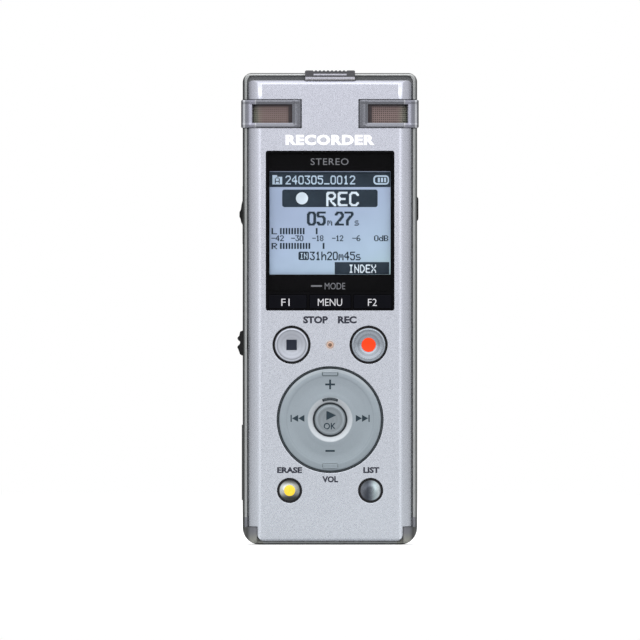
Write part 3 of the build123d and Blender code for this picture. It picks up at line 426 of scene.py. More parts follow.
def spun(name, cx, cz, base, rough, pitch_mm, amp_um, metal=0.95, r_out=4.0, edge=0.16, rings=(), wide_amp=0.05, split=None, gap_shade_rgb=(0.006, 0.007, 0.011), **kw):
    """Turned metal: fine concentric grooves round the key's axis with wider tonal rings over them, and the listed rings
    as painted highlight and shade rings. The outermost edge and the side wall are painted dark as painted shade in the
    gap round the key.
    """
    t = Tree(name)
    r = t.radius(cx, cz)
    groove = t.math("SINE", t.math("MULTIPLY", r, 2 * math.pi / (pitch_mm * MM)))
    wide = t.math("SINE", t.math("MULTIPLY", r, 2 * math.pi / (0.85 * MM)))
    n = t.noise(0.5, 3.0)
    val = t.math("ADD", 1.0, t.math("ADD", t.math("MULTIPLY", wide, wide_amp), t.math("MULTIPLY", t.math("SUBTRACT", n, 0.5), 0.10)))
    # painted highlight and shade rings
    for rc, w, gain in rings:
        d = t.math("ABSOLUTE", t.math("SUBTRACT", r, rc * MM))
        val = t.math("MULTIPLY", val, t.math("ADD", 1.0, t.math("MULTIPLY", t.remap(d, 0.0, w * MM, 1.0, 0.0, True), gain)))
    c = t.node("ShaderNodeVectorMath", operation="SCALE")
    if split:
        t.put(c.inputs[0], split(t))
    else:
        c.inputs[0].default_value = base
    t.put(c.inputs["Scale"], val)
    gn = t.node("ShaderNodeSeparateXYZ")
    t.put(gn.inputs[0], t.node("ShaderNodeTexCoord").outputs["Normal"])
    # painted shade: side wall and outer edge of the key painted dark
    wall = t.math("LESS_THAN", t.math("ABSOLUTE", gn.outputs[1]), 0.25)
    rim = t.remap(r, (r_out - edge) * MM, (r_out - edge * 0.55) * MM, 0.0, 1.0, True)
    dark = t.math("MAXIMUM", wall, rim)
    colour = t.mix(dark, c.outputs[0], gap_shade_rgb)
    normal = t.bevel(0.10)
    normal = t.bump(groove, amp_um, normal)
    rr = t.remap(t.noise(0.7, 3.0), 0.3, 0.7, rough - 0.03, rough + 0.05)
    t.principled(colour, t.math("MULTIPLY", t.math("SUBTRACT", 1.0, dark), metal), rr, normal, **kw)
    return t.m


def erase_key_painted_reflection(t):
    """Small polished key with a painted reflection: the dark side of the studio painted over its top and foot, lighter
    toward the left.
    """
    x, y, z = t.xyz()
    k = t.remap(t.math("ABSOLUTE", t.math("SUBTRACT", z, 12.5 * MM)), 0.5 * MM, 2.1 * MM, 0.0, 1.0, True)
    side = t.remap(x, -11.4 * MM, -7.2 * MM, 1.0, 0.55, True)
    c = t.node("ShaderNodeVectorMath", operation="SCALE")
    c.inputs[0].default_value = (0.47, 0.49, 0.475)
    t.put(c.inputs["Scale"], t.math("MULTIPLY", side, t.math("SUBTRACT", 1.0, t.math("MULTIPLY", k, 0.86))))
    return c.outputs[0]


def list_key_painted_reflection(t):
    """Small polished key with a painted reflection: dark left of the middle, bright on the right."""
    x = t.xyz()[0]
    k = t.remap(x, 6.75 * MM, 11.5 * MM, 0.0, 1.0)
    return t.ramp(k, [(0.0, (0.16, 0.172, 0.195)), (0.12, (0.11, 0.12, 0.14)), (0.24, (0.065, 0.072, 0.086)), (0.36, (0.05, 0.056, 0.07)), (0.50, (0.11, 0.125, 0.145)), (0.70, (0.31, 0.37, 0.39)), (0.88, (0.43, 0.48, 0.50)), (1.0, (0.14, 0.16, 0.18))])


# the rings listed for each key are painted highlight and shade rings
M["stop"] = spun("spun_stop_key", -8.65, 44.9, (0.352, 0.370, 0.418), 0.33, 0.34, 1.2, r_out=3.85, rings=((3.25, 0.22, -0.28), (3.5, 0.12, 0.45)))
M["rec"] = spun("spun_rec_key", 8.65, 44.9, (0.275, 0.305, 0.345), 0.24, 0.42, 2.6, r_out=3.85, wide_amp=0.16, rings=((2.0, 0.5, -0.12),))
M["erase"] = spun("polished_erase_key", -9.1, 12.2, (0.62, 0.64, 0.66), 0.20, 0.5, 0.2, r_out=2.4, edge=0.2, split=erase_key_painted_reflection)
M["list"] = spun("polished_list_key", 9.1, 12.2, (0.62, 0.64, 0.66), 0.22, 0.5, 0.2, r_out=2.4, edge=0.2, split=list_key_painted_reflection)
M["ok"] = spun("satin_ok_key", 0.0, 28.1, (0.200, 0.228, 0.250), 0.34, 0.30, 0.5, metal=0.6, r_out=3.5, edge=0.10, gap_shade_rgb=(0.06, 0.08, 0.095), rings=((2.55, 0.14, -0.18), (3.02, 0.16, 0.4)))


def ring_grey_with_painted_light(t):
    """Grey ring face with painted light: a bright bevel round the centre key with painted shade toward its top, the
    face a little lighter toward the top, a painted highlight on the upper outer rim, a painted dark line at the step
    inside the rim, and the outer edge and side walls painted dark as painted shade.
    """
    x, y, z = t.xyz()
    r = t.radius(0.0, 28.1)
    zc = t.math("SUBTRACT", z, 28.1 * MM)
    # painted shade: the bevel round the centre key darker toward its top
    low = t.remap(zc, -5 * MM, 5 * MM, 0.80, 0.64)
    bright = t.remap(r, 4.85 * MM, 5.15 * MM, 1.0, 0.0, True)
    # painted shade: a dark line at the step inside the rim
    step = t.math("MULTIPLY", t.remap(r, 9.55 * MM, 9.75 * MM, 0.0, 1.0, True), t.remap(r, 9.75 * MM, 10.0 * MM, 1.0, 0.0, True))
    # painted highlight on the upper outer rim
    lit = t.math("MULTIPLY", t.remap(r, 10.55 * MM, 10.9 * MM, 0.0, 1.0, True), t.remap(zc, 4 * MM, 9 * MM, 0.0, 0.6, True))
    # painted light: the face a little lighter toward the top
    body = t.mix(t.math("MULTIPLY", step, 0.30), t.mix(t.remap(zc, -9 * MM, 7 * MM, 0.0, 1.0), (0.232, 0.272, 0.302), (0.262, 0.303, 0.338)), (0.17, 0.20, 0.225))
    body = t.mix(lit, body, (0.38, 0.42, 0.45))
    bev = t.node("ShaderNodeVectorMath", operation="SCALE")
    bev.inputs[0].default_value = (0.60, 0.645, 0.69)
    t.put(bev.inputs["Scale"], low)
    c = t.mix(bright, body, bev.outputs[0])
    gn = t.node("ShaderNodeSeparateXYZ")
    t.put(gn.inputs[0], t.node("ShaderNodeTexCoord").outputs["Normal"])
    # painted shade: side walls and outer edge painted dark, darker toward the top
    wall = t.math("LESS_THAN", t.math("ABSOLUTE", gn.outputs[1]), 0.22)
    rim = t.remap(r, 11.38 * MM, 11.46 * MM, 0.0, 1.0, True)
    shade_c = t.mix(t.math("LESS_THAN", r, 4.2 * MM), t.mix(t.remap(zc, -9 * MM, 9 * MM, 0.0, 1.0), (0.055, 0.075, 0.088), (0.012, 0.017, 0.023)), (0.10, 0.13, 0.15))
    shade_c = t.mix(t.math("GREATER_THAN", r, 11.6 * MM), shade_c, (0.16, 0.19, 0.21))
    return t.mix(t.math("MAXIMUM", wall, rim), c, shade_c)


def ring_face_on(t):
    """How far the inner bevel is shaded as if it faced the reader."""
    r = t.radius(0.0, 28.1)
    return t.remap(r, 4.95 * MM, 5.15 * MM, 0.75, 0.0, True)


M["ring"] = metal_paint("paint_ring_grey", (0.29, 0.335, 0.375), rough=0.40, metal=0.55, flake=0.03, bevel=0.10, coat=0.08, split=ring_grey_with_painted_light, fine=0.2, face_on=ring_face_on)
# painted shade: the raised bar above the centre key is coloured dark to stand for its shadow
M["ring_bump"] = surface("ring_touch_bump_painted_shade", (0.038, 0.047, 0.056), 0.5, 0.25, mottle=0.1, mottle_mm=0.4, grain_mm=0.08, grain_um=0.6)
M["ring_bar_edge"] = surface("ring_bar_shadow_line", (0.075, 0.10, 0.11), 0.2, 0.4, mottle=0.1, mottle_mm=0.4, grain_mm=0.08, grain_um=0.6)


def window_material():
    t = Tree("clear_acrylic_window")
    fres = t.node("ShaderNodeFresnel")
    fres.inputs["IOR"].default_value = 1.45
    smear = t.remap(t.noise(9.0, 3.0), 0.35, 0.7, 0.05, 0.08)
    back = t.node("ShaderNodeNewGeometry").outputs["Backfacing"]
    alpha = t.math("MULTIPLY", t.math("MULTIPLY", t.math("SUBTRACT", fres.outputs[0], 0.06, clamp=True), 0.8), t.math("SUBTRACT", 1.0, back))
    p = t.principled((0.92, 0.95, 1.0), 1.0, smear, None)
    t.put(p.inputs["Alpha"], alpha)
    return t.m


M["window"] = window_material()


def lcd_material():
    """Backlit polariser: cool grey-blue, brighter toward the lower right where the lamp edge lies, with a faint dot grid."""
    t = Tree("lcd_backlit_panel")
    x, y, z = t.xyz()
    gx = t.remap(x, -13.6 * MM, 13.6 * MM, 0.0, 1.0)
    gz = t.remap(z, 83.9 * MM, 60.7 * MM, 0.0, 1.0)
    g = t.math("ADD", t.math("MULTIPLY", gx, 0.35), t.math("MULTIPLY", gz, 0.65))
    base = t.ramp(g, [(0.0, lin((143, 157, 182))), (0.45, lin((150, 165, 190))), (0.8, lin((156, 176, 196))), (1.0, lin((160, 184, 192)))])
    wave = t.remap(t.noise(7.0, 2.0), 0.35, 0.65, 0.90, 0.96)
    px = t.math("ABSOLUTE", t.math("SINE", t.math("MULTIPLY", x, math.pi / (0.155 * MM))))
    pz = t.math("ABSOLUTE", t.math("SINE", t.math("MULTIPLY", z, math.pi / (0.155 * MM))))
    grid = t.remap(t.math("MINIMUM", px, pz), 0.0, 0.35, 0.94, 1.0)
    k = t.math("MULTIPLY", wave, grid)
    c = t.node("ShaderNodeVectorMath", operation="SCALE")
    t.put(c.inputs[0], base)
    t.put(c.inputs["Scale"], k)
    t.principled(c.outputs[0], 0.0, 0.5, None, Emission_Color=c.outputs[0], Emission_Strength=0.25, Specular_IOR_Level=0.1)
    return t.m


M["lcd"] = lcd_material()


def lcd_ink(name, rgb, glow):
    t = Tree(name)
    v = t.remap(t.noise(3.0, 2.0), 0.35, 0.65, 0.92, 1.08)
    c = t.node("ShaderNodeVectorMath", operation="SCALE")
    c.inputs[0].default_value = lin(rgb)
    t.put(c.inputs["Scale"], v)
    t.principled(c.outputs[0], 0.0, 0.55, None, Emission_Color=c.outputs[0], Emission_Strength=glow, Specular_IOR_Level=0.1)
    return t.m


M["lcd_dark"] = lcd_ink("lcd_dark_dots", (38, 48, 58), 0.2)
M["lcd_light"] = lcd_ink("lcd_clear_dots", (160, 178, 195), 0.25)
M["lcd_white"] = lcd_ink("lcd_bright_dots", (186, 198, 208), 0.25)


def lamp_material():
    t = Tree("smoked_amber_lamp")
    r = t.radius(0.0, 44.9)
    c = t.ramp(t.remap(r, 0.0, 0.8 * MM, 0.0, 1.0), [(0.0, (0.16, 0.085, 0.05)), (0.48, (0.12, 0.06, 0.035)), (0.62, (0.62, 0.40, 0.30)), (1.0, (0.74, 0.52, 0.42))])
    v = t.bump(t.noise(0.3), 1.0, t.bevel(0.06))
    t.principled(c, 0.0, 0.10, v, Coat_Weight=0.4)
    return t.m


M["lamp"] = lamp_material()


def board_material(name, seed):
    """Solder mask over copper tracks: straight tracks under the mask, plated pads and small vias."""
    t = Tree(name)
    vec = t.mapped(loc=(seed * 0.013, 0, seed * 0.007))
    b = t.node("ShaderNodeTexBrick")
    t.put(b.inputs["Vector"], t.mapped(rot=(math.radians(90), 0, 0), loc=(seed * 0.002, seed * 0.003, 0)))
    b.inputs["Scale"].default_value = 260.0
    b.inputs["Mortar Size"].default_value = 0.06
    b.inputs["Color1"].default_value = (0, 0, 0, 1)
    b.inputs["Color2"].default_value = (0, 0, 0, 1)
    b.inputs["Mortar"].default_value = (1, 1, 1, 1)
    tracks = b.outputs["Color"]
    via = t.remap(t.voronoi(1.7, vec=vec), 0.10, 0.16, 1.0, 0.0)
    pad = t.remap(t.voronoi(3.4, vec=vec), 0.10, 0.13, 1.0, 0.0)
    mask = t.mix(tracks, (0.008, 0.085, 0.035), (0.02, 0.17, 0.07))
    mask = t.mix(t.noise(6.0, 3.0), mask, (0.012, 0.11, 0.05))
    c = t.mix(via, mask, (0.55, 0.53, 0.48))
    c = t.mix(pad, c, (0.72, 0.50, 0.2))
    h = t.math("ADD", tracks, via)
    t.principled(c, t.math("MAXIMUM", via, pad), t.remap(t.noise(1.0), 0.3, 0.7, 0.28, 0.4), t.bump(h, 15.0, t.bevel(0.05)))
    return t.m


M["board_a"] = board_material("solder_mask_main", 1.0)
M["board_b"] = board_material("solder_mask_keys", 2.3)


def flex_material():
    t = Tree("polyimide_flex")
    x, y, z = t.xyz()
    s = t.remap(t.math("SINE", t.math("MULTIPLY", x, 2 * math.pi / (0.5 * MM))), -0.2, 0.2, 0.0, 1.0)
    c = t.mix(s, (0.50, 0.23, 0.045), (0.30, 0.13, 0.025))
    c = t.mix(t.math("MULTIPLY", t.noise(1.5, 3.0), 0.4), c, (0.6, 0.3, 0.07))
    t.principled(c, 0.1, 0.3, t.bump(s, 12.0), Coat_Weight=0.4)
    return t.m


M["flex"] = flex_material()


def cell_material():
    """Battery sleeve: a dark printed sleeve with a copper shoulder band and a plain light ring, over a bare metal end cap."""
    t = Tree("battery_sleeve")
    x, y, z = t.xyz()
    h = t.remap(z, 9.6 * MM, 54.1 * MM, 0.0, 1.0)
    c = t.ramp(h, [(0.0, (0.6, 0.59, 0.56)), (0.022, (0.025, 0.03, 0.04)), (0.70, (0.025, 0.03, 0.04)), (0.705, (0.75, 0.75, 0.75)),
                   (0.725, (0.60, 0.28, 0.12)), (0.955, (0.66, 0.33, 0.15)), (0.962, (0.62, 0.61, 0.58))], "CONSTANT")
    met = t.ramp(h, [(0.0, 1.0), (0.022, 0.25), (0.70, 0.1), (0.725, 0.8), (0.955, 0.8), (0.962, 1.0)], "CONSTANT")
    c = t.mix(t.math("MULTIPLY", t.noise(2.5, 3.0), 0.12), c, (0.4, 0.4, 0.4))
    t.principled(c, met, t.remap(t.noise(2.0), 0.3, 0.7, 0.16, 0.26), t.bump(t.noise(0.9), 2.0, t.bevel(0.12)), Coat_Weight=0.3)
    return t.m


M["cell"] = cell_material()


def cloth_material():
    t = Tree("acoustic_cloth")
    x, y, z = t.xyz()
    a = t.math("SINE", t.math("MULTIPLY", x, 2 * math.pi / (0.22 * MM)))
    b = t.math("SINE", t.math("MULTIPLY", z, 2 * math.pi / (0.22 * MM)))
    w = t.math("MULTIPLY", a, b)
    c = t.mix(t.remap(w, -0.5, 0.5, 0.0, 1.0), (0.008, 0.008, 0.008), (0.035, 0.035, 0.036))
    t.principled(c, 0.0, 0.85, t.bump(w, 25.0), Sheen_Weight=0.3)
    return t.m


M["cloth"] = cloth_material()


def screen_tone_and_painted_shade():
    """Dark anodised perforated sheet, greener and lighter toward the side, the lightening there being painted light on
    the bend that lies in shade; painted shade darkens it toward the top and under the top and inner walls of the
    window.
    """
    t = Tree("perforated_screen_metal")
    x, y, z = t.xyz()
    ax = t.math("ABSOLUTE", x)
    # painted light: the side part lighter, and less metallic, where the bend lies in shade
    side = t.remap(ax, 14.8 * MM, 17.2 * MM, 0.0, 1.0, True)
    c = t.mix(side, (0.23, 0.168, 0.160), (0.24, 0.26, 0.205))
    metal = t.remap(ax, 16.0 * MM, 16.5 * MM, 0.7, 0.15)
    # painted shade: darker toward the top
    up = t.remap(z, 96.3 * MM, 98.9 * MM, 0.0, 0.55, True)
    c = t.mix(up, c, (0.10, 0.072, 0.075))
    c = t.mix(t.math("MULTIPLY", t.noise(0.8, 3.0), 0.35), c, (0.15, 0.12, 0.115))
    # painted shadow under the top and inner walls of the window
    shade = t.math("MAXIMUM", t.remap(z, 98.15 * MM, 98.65 * MM, 0.0, 1.0, True), t.remap(ax, 9.7 * MM, 9.2 * MM, 0.0, 1.0, True))
    c = t.mix(t.math("MULTIPLY", shade, 0.8), c, (0.018, 0.019, 0.026))
    t.principled(c, metal, t.remap(t.noise(0.4), 0.3, 0.7, 0.36, 0.5), t.bump(t.noise(0.05), 1.5))
    return t.m


M["screen"] = screen_tone_and_painted_shade()
M["screen_back"] = surface("felt_behind_screen", (0.075, 0.056, 0.052), 0.0, 0.9, mottle=0.25, mottle_mm=0.5, grain_mm=0.06, grain_um=12.0)
M["dome"] = surface("snap_dome_steel", (0.6, 0.59, 0.56), 1.0, 0.3, mottle=0.05)

# ================================================================================================
# CAD nodes: finish and shading
# ================================================================================================
USE = dict(
    front_cover="front", chassis="band", rear_cover="rear", battery_door="rear", display_frame="gloss_black", display_window="window",
    window_mask="gloss_black", lcd_glass="lcd", lcd_backlight="white_part", lcd_flex="flex", f1_button="key_black", menu_button="key_black",
    f2_button="key_black", stop_button="stop", rec_button="rec", erase_button="erase", list_button="list", nav_ring="ring", nav_web="silicone",
    ok_button="ok", led_lens="lamp", led_chip="lamp_white", keypad_membrane="silicone", tact_domes="dome", key_board="board_b",
    main_board="board_a", board_screws="nickel", board_link_flex="flex", shield_can="tin", circuit_chips="chip", backup_capacitor="tin",
    mic_guard_left="guard", mic_guard_right="guard", mic_mesh_left="screen_back", mic_mesh_right="screen_back", mic_capsules="mic_metal",
    mic_boots="rubber", center_mic_cap="mic_housing", center_mic_trim="trim", ear_jack="matte_black", mic_jack="matte_black", card_socket="tin",
    usb_socket="tin", slide_switch_body="tin", slide_switch_lever="matte_black", power_hold_knob="knob", card_cover="knob",
    usb_cover="knob", speaker="cone", speaker_gasket="rubber", speaker_cloth="cloth", battery_tray="tray", battery_insulator="flex",
    battery_positive_contact="nickel", battery_negative_spring="nickel", battery_cell="cell", door_hinge_pin="nickel", case_screws="screw",
    speaker_wires="wire")

def shade(me, sharp=31.0):
    """Corner normals for a tessellated solid: flat faces stay flat to their edges, and the rounded faces beside them meet them without a step."""
    for a in ("custom_normal", "sharp_edge", "sharp_face"):
        at = me.attributes.get(a)
        if at is not None:
            me.attributes.remove(at)
    me.polygons.foreach_set("use_smooth", [True] * len(me.polygons))
    me.update()
    nv, nl, npoly = len(me.vertices), len(me.loops), len(me.polygons)
    co = np.empty(nv * 3)
    me.vertices.foreach_get("co", co)
    lv = np.empty(nl, dtype=np.int64)
    me.loops.foreach_get("vertex_index", lv)
    start, count = np.empty(npoly, dtype=np.int64), np.empty(npoly, dtype=np.int64)
    me.polygons.foreach_get("loop_start", start)
    me.polygons.foreach_get("loop_total", count)
    fn, area = np.empty(npoly * 3), np.empty(npoly)
    me.polygons.foreach_get("normal", fn)
    me.polygons.foreach_get("area", area)
    fn = fn.reshape(-1, 3)
    _, same = np.unique(np.round(co.reshape(-1, 3) / 2e-7).astype(np.int64), axis=0, return_inverse=True)
    at = same.reshape(-1)[lv]
    owner = np.repeat(np.arange(npoly), count)
    # neighbouring faces in one plane count as one face
    nxt = np.arange(nl) + 1
    nxt[start + count - 1] = start
    parent = list(range(npoly))

    def root(i):
        while parent[i] != i:
            parent[i] = parent[parent[i]]
            i = parent[i]
        return i

    lo, hi = np.minimum(at, at[nxt]), np.maximum(at, at[nxt])
    order = np.lexsort((hi, lo))
    a, b = order[:-1], order[1:]
    pair = (lo[a] == lo[b]) & (hi[a] == hi[b])
    fa, fb = owner[a[pair]], owner[b[pair]]
    flat = np.einsum("ij,ij->i", fn[fa], fn[fb]) > math.cos(math.radians(0.12))
    for i, j in zip(fa[flat].tolist(), fb[flat].tolist()):
        i, j = root(i), root(j)
        if i != j:
            parent[j] = i
    plane = np.array([root(i) for i in range(npoly)])
    size = np.zeros(npoly)
    np.add.at(size, plane, area)
    weight = size[plane]
    # per corner: every plane that meets there within the sharp angle, once each
    order = np.argsort(at, kind="stable")
    cut = np.flatnonzero(np.diff(at[order])) + 1
    normals = np.empty((nl, 3))
    limit = math.cos(math.radians(sharp))
    for group in np.split(order, cut):
        f = owner[group]
        _, first = np.unique(plane[f], return_index=True)
        u = f[first]
        dots_ = fn[f] @ fn[u].T
        w = np.where(dots_ > limit, weight[u][None, :], 0.0)
        n = w @ fn[u]
        length = np.linalg.norm(n, axis=1)
        ok = length > 1e-20
        normals[group] = np.where(ok[:, None], n / np.where(ok, length, 1.0)[:, None], fn[f])
    me.normals_split_custom_set([tuple(n) for n in normals])


for name, o in CAD.items():
    me = o.data
    shade(me)
    me.materials.clear()
    me.materials.append(M[USE[name]])


# ================================================================================================
# mesh helpers
# ================================================================================================
def add(name, verts, faces, body, material, smooth=False):
    """Mesh object from points in millimetres of the row frame."""
    me = bpy.data.meshes.new(name)
    me.from_pydata([(x * MM, y * MM, z * MM) for x, y, z in verts], [], faces)
    me.validate()
    bm = bmesh.new()
    bm.from_mesh(me)
    bmesh.ops.recalc_face_normals(bm, faces=bm.faces)
    bm.to_mesh(me)
    bm.free()
    me.polygons.foreach_set("use_smooth", [smooth] * len(me.polygons))
    me.materials.append(material)
    o = bpy.data.objects.new(name, me)
    COL.objects.link(o)
    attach(o, body)
    return o


def placed(side, u, v, w):
    """A point drawn on a face of the recorder: u to the reader's right, v up, w out of the face (w = signed row coordinate of that face)."""
    if side == "front":
        return (u, w, v)
    if side == "back":
        return (-u, w, v)
    if side == "left":
        return (w, -u, v)
    if side == "right":
        return (w, u, v)
    if side == "top":
        return (u, v, w)
    raise ValueError(side)


OUT = {"front": -1, "back": 1, "left": -1, "right": 1, "top": 1}


def text_shape(body, bold=0.0, spacing=1.0):
    cu = bpy.data.curves.new("t_" + body, "FONT")
    cu.body = body
    cu.size = 1.0
    cu.offset = bold
    cu.space_character = spacing
    cu.resolution_u = 3
    cu.fill_mode = "FRONT"
    ob = bpy.data.objects.new("t_" + body, cu)
    COL.objects.link(ob)
    bpy.context.view_layer.update()
    dg = bpy.context.evaluated_depsgraph_get()
    me = bpy.data.meshes.new_from_object(ob.evaluated_get(dg))
    bpy.data.objects.remove(ob)
    vs = [tuple(v.co[:2]) for v in me.vertices]
    fs = [tuple(p.vertices) for p in me.polygons]
    bpy.data.meshes.remove(me)
    return vs, fs


def thick(vs2, fs, side, face, sink=0.012, proud=0.014):
    """Flat artwork made into a thin closed slab that stands a hair proud of the face. A face that is a function is followed point by point."""
    bm = bmesh.new()
    bv = [bm.verts.new((a, b, 0)) for a, b in vs2]
    for f in fs:
        try:
            bm.faces.new([bv[i] for i in f])
        except ValueError:
            pass
    bmesh.ops.remove_doubles(bm, verts=bm.verts, dist=1e-5)
    if callable(face):
        bmesh.ops.triangulate(bm, faces=bm.faces)
        for _ in range(5):
            long = [e for e in bm.edges if e.calc_length() > 0.22]
            if not long:
                break
            bmesh.ops.subdivide_edges(bm, edges=long, cuts=1)
            bmesh.ops.triangulate(bm, faces=bm.faces)
    bmesh.ops.recalc_face_normals(bm, faces=bm.faces)
    got = bmesh.ops.extrude_face_region(bm, geom=list(bm.faces))
    for v in [g for g in got["geom"] if isinstance(g, bmesh.types.BMVert)]:
        v.co.z = 1.0
    bm.verts.index_update()
    o = OUT[side]
    pts = []
    for v in bm.verts:
        f = face(v.co.x, v.co.y) if callable(face) else face
        pts.append(placed(side, v.co.x, v.co.y, f + o * (proud if v.co.z > 0.5 else -sink)))
    faces = [[v.index for v in f.verts] for f in bm.faces]
    bm.free()
    return pts, faces


def label(name, text, u0, u1, v0, v1, face, body="root", mat="ink_dark", side="front", bold=0.0, spacing=1.0, proud=0.014, sink=0.012):
    """Lettering fitted into a box on a face."""
    vs, fs = text_shape(text, bold, spacing)
    xs, ys = [v[0] for v in vs], [v[1] for v in vs]
    x0, x1, y0, y1 = min(xs), max(xs), min(ys), max(ys)
    if u1 is None:
        k = (v1 - v0) / (y1 - y0)
        half = (x1 - x0) * k / 2
        u0, u1 = u0 - half, u0 + half
    fit = [(u0 + (x - x0) / (x1 - x0) * (u1 - u0), v0 + (y - y0) / (y1 - y0) * (v1 - v0)) for x, y in vs]
    pts, faces = thick(fit, fs, side, face, sink, proud)
    return add(name, pts, faces, body, M[mat])


def shape(name, polys, face, body="root", mat="ink_dark", side="front", proud=0.014, sink=0.012):
    """Several closed polygons printed on a face."""
    vs, fs = [], []
    for p in polys:
        base = len(vs)
        vs += p
        fs.append(tuple(range(base, base + len(p))))
    pts, faces = thick(vs, fs, side, face, sink, proud)
    return add(name, pts, faces, body, M[mat])


def box2(u0, u1, v0, v1, r=0.0, n=5):
    if r <= 0:
        return [(u0, v0), (u1, v0), (u1, v1), (u0, v1)]
    out = []
    for cx, cy, a in ((u1 - r, v0 + r, -90), (u1 - r, v1 - r, 0), (u0 + r, v1 - r, 90), (u0 + r, v0 + r, 180)):
        for i in range(n + 1):
            t = math.radians(a + 90 * i / n)
            out.append((cx + r * math.cos(t), cy + r * math.sin(t)))
    return out


def disc2(cx, cy, r, n=40):
    return [(cx + r * math.cos(2 * math.pi * i / n), cy + r * math.sin(2 * math.pi * i / n)) for i in range(n)]


def lathe(name, profile, cx, cz, body, material, n=64, axis="y", smooth=True, cy=0.0):
    """Closed profile of (radius, depth) points turned round an axis along Y at x, z, or along Z at x, y."""
    vs, fs = [], []
    m = len(profile)
    for i in range(n):
        a = 2 * math.pi * i / n
        for r, d in profile:
            if axis == "y":
                vs.append((cx + r * math.cos(a), d, cz + r * math.sin(a)))
            else:
                vs.append((cx + r * math.cos(a), cy + r * math.sin(a), d))
    for i in range(n):
        j = (i + 1) % n
        for k in range(m):
            l = (k + 1) % m
            fs.append((i * m + k, i * m + l, j * m + l, j * m + k))
    o = add(name, vs, fs, body, material, smooth)
    bm = bmesh.new()
    bm.from_mesh(o.data)
    bmesh.ops.remove_doubles(bm, verts=bm.verts, dist=1e-7)
    bm.to_mesh(o.data)
    bm.free()
    return o


# ================================================================================================
# display artwork
# ================================================================================================
FONT5 = {
    "0": (0x3E, 0x41, 0x41, 0x41, 0x3E), "1": (0x00, 0x42, 0x7F, 0x40, 0x00), "2": (0x42, 0x61, 0x51, 0x49, 0x46), "3": (0x21, 0x41, 0x45, 0x4B, 0x31),
    "4": (0x18, 0x14, 0x12, 0x7F, 0x10), "5": (0x27, 0x45, 0x45, 0x45, 0x39), "6": (0x3C, 0x4A, 0x49, 0x49, 0x30), "7": (0x01, 0x71, 0x09, 0x05, 0x03),
    "8": (0x36, 0x49, 0x49, 0x49, 0x36), "9": (0x06, 0x49, 0x49, 0x29, 0x1E), "A": (0x7E, 0x11, 0x11, 0x11, 0x7E), "B": (0x7F, 0x49, 0x49, 0x49, 0x36),
    "C": (0x3E, 0x41, 0x41, 0x41, 0x22), "D": (0x7F, 0x41, 0x41, 0x22, 0x1C), "E": (0x7F, 0x49, 0x49, 0x49, 0x41), "F": (0x7F, 0x09, 0x09, 0x09, 0x01),
    "I": (0x00, 0x41, 0x7F, 0x41, 0x00), "K": (0x7F, 0x08, 0x14, 0x22, 0x41), "L": (0x7F, 0x40, 0x40, 0x40, 0x40), "M": (0x7F, 0x02, 0x0C, 0x02, 0x7F),
    "N": (0x7F, 0x04, 0x08, 0x10, 0x7F), "R": (0x7F, 0x09, 0x19, 0x29, 0x46), "X": (0x63, 0x14, 0x08, 0x14, 0x63), "O": (0x3E, 0x41, 0x41, 0x41, 0x3E),
    "d": (0x38, 0x44, 0x44, 0x48, 0x7F), "h": (0x7F, 0x08, 0x04, 0x04, 0x78), "m": (0x7C, 0x04, 0x18, 0x04, 0x78), "s": (0x48, 0x54, 0x54, 0x54, 0x20),
    "-": (0x08, 0x08, 0x08, 0x08, 0x08), "_": (0x40, 0x40, 0x40, 0x40, 0x40), " ": (0, 0, 0, 0, 0)}


def glyph(ch, smooth=True):
    cols = FONT5[ch]
    g = [[1 if cols[x] >> y & 1 else 0 for x in range(5)] for y in range(7)]
    if not smooth:
        return g
    out = [[0] * 10 for _ in range(14)]
    at = lambda x, y: g[y][x] if 0 <= x < 5 and 0 <= y < 7 else 0
    for y in range(7):
        for x in range(5):
            p, a, b, c, d = at(x, y), at(x, y - 1), at(x + 1, y), at(x - 1, y), at(x, y + 1)
            q = [p, p, p, p]
            if c == a and c != d and a != b:
                q[0] = a
            if a == b and a != c and b != d:
                q[1] = b
            if d == c and d != b and c != a:
                q[2] = c
            if b == d and b != a and d != c:
                q[3] = d
            out[2 * y][2 * x], out[2 * y][2 * x + 1], out[2 * y + 1][2 * x], out[2 * y + 1][2 * x + 1] = q
    return out


def dots(text, u0, u1, v0, v1, smooth=True, gap=1.2, bold=0.0):
    """Rectangles of a dot-matrix line of text that fills a box."""
    n = len(text)
    adv = (u1 - u0) / (n - gap / 6.0) if n > 1 else (u1 - u0) * 6 / 5
    rects = []
    for i, ch in enumerate(text):
        g = glyph(ch, smooth)
        rows, cols = len(g), len(g[0])
        cw, rh = adv * 5 / 6 / cols, (v1 - v0) / rows
        x0 = u0 + i * adv
        for y in range(rows):
            x = 0
            while x < cols:
                if g[y][x]:
                    e = x
                    while e < cols and g[y][e]:
                        e += 1
                    rects.append((x0 + x * cw, x0 + e * cw + bold, v1 - (y + 1) * rh, v1 - y * rh))
                    x = e
                else:
                    x += 1
    return rects


def lcd_layer(name, rects, polys, mat, w):
    """One printed layer of the display: small closed tiles that stand a hair in front of the glass."""
    vs, fs = [], []
    d = 0.012
    for p in [box2(*r) for r in rects] + polys:
        b = len(vs)
        m = len(p)
        vs += [(u, w, v) for u, v in p] + [(u, w + d, v) for u, v in p]
        fs.append(tuple(range(b, b + m)))
        fs.append(tuple(range(b + 2 * m - 1, b + m - 1, -1)))
        for i in range(m):
            j = (i + 1) % m
            fs.append((b + i, b + j, b + m + j, b + m + i))
    return add(name, vs, fs, "root", M[mat])


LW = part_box("lcd_glass")[0].y / MM       # front of the display glass
dark, light, white = [], [], []
dark_p, light_p, white_p = [], [], []
dark.append((-13.58, 13.58, 80.35, 83.75))
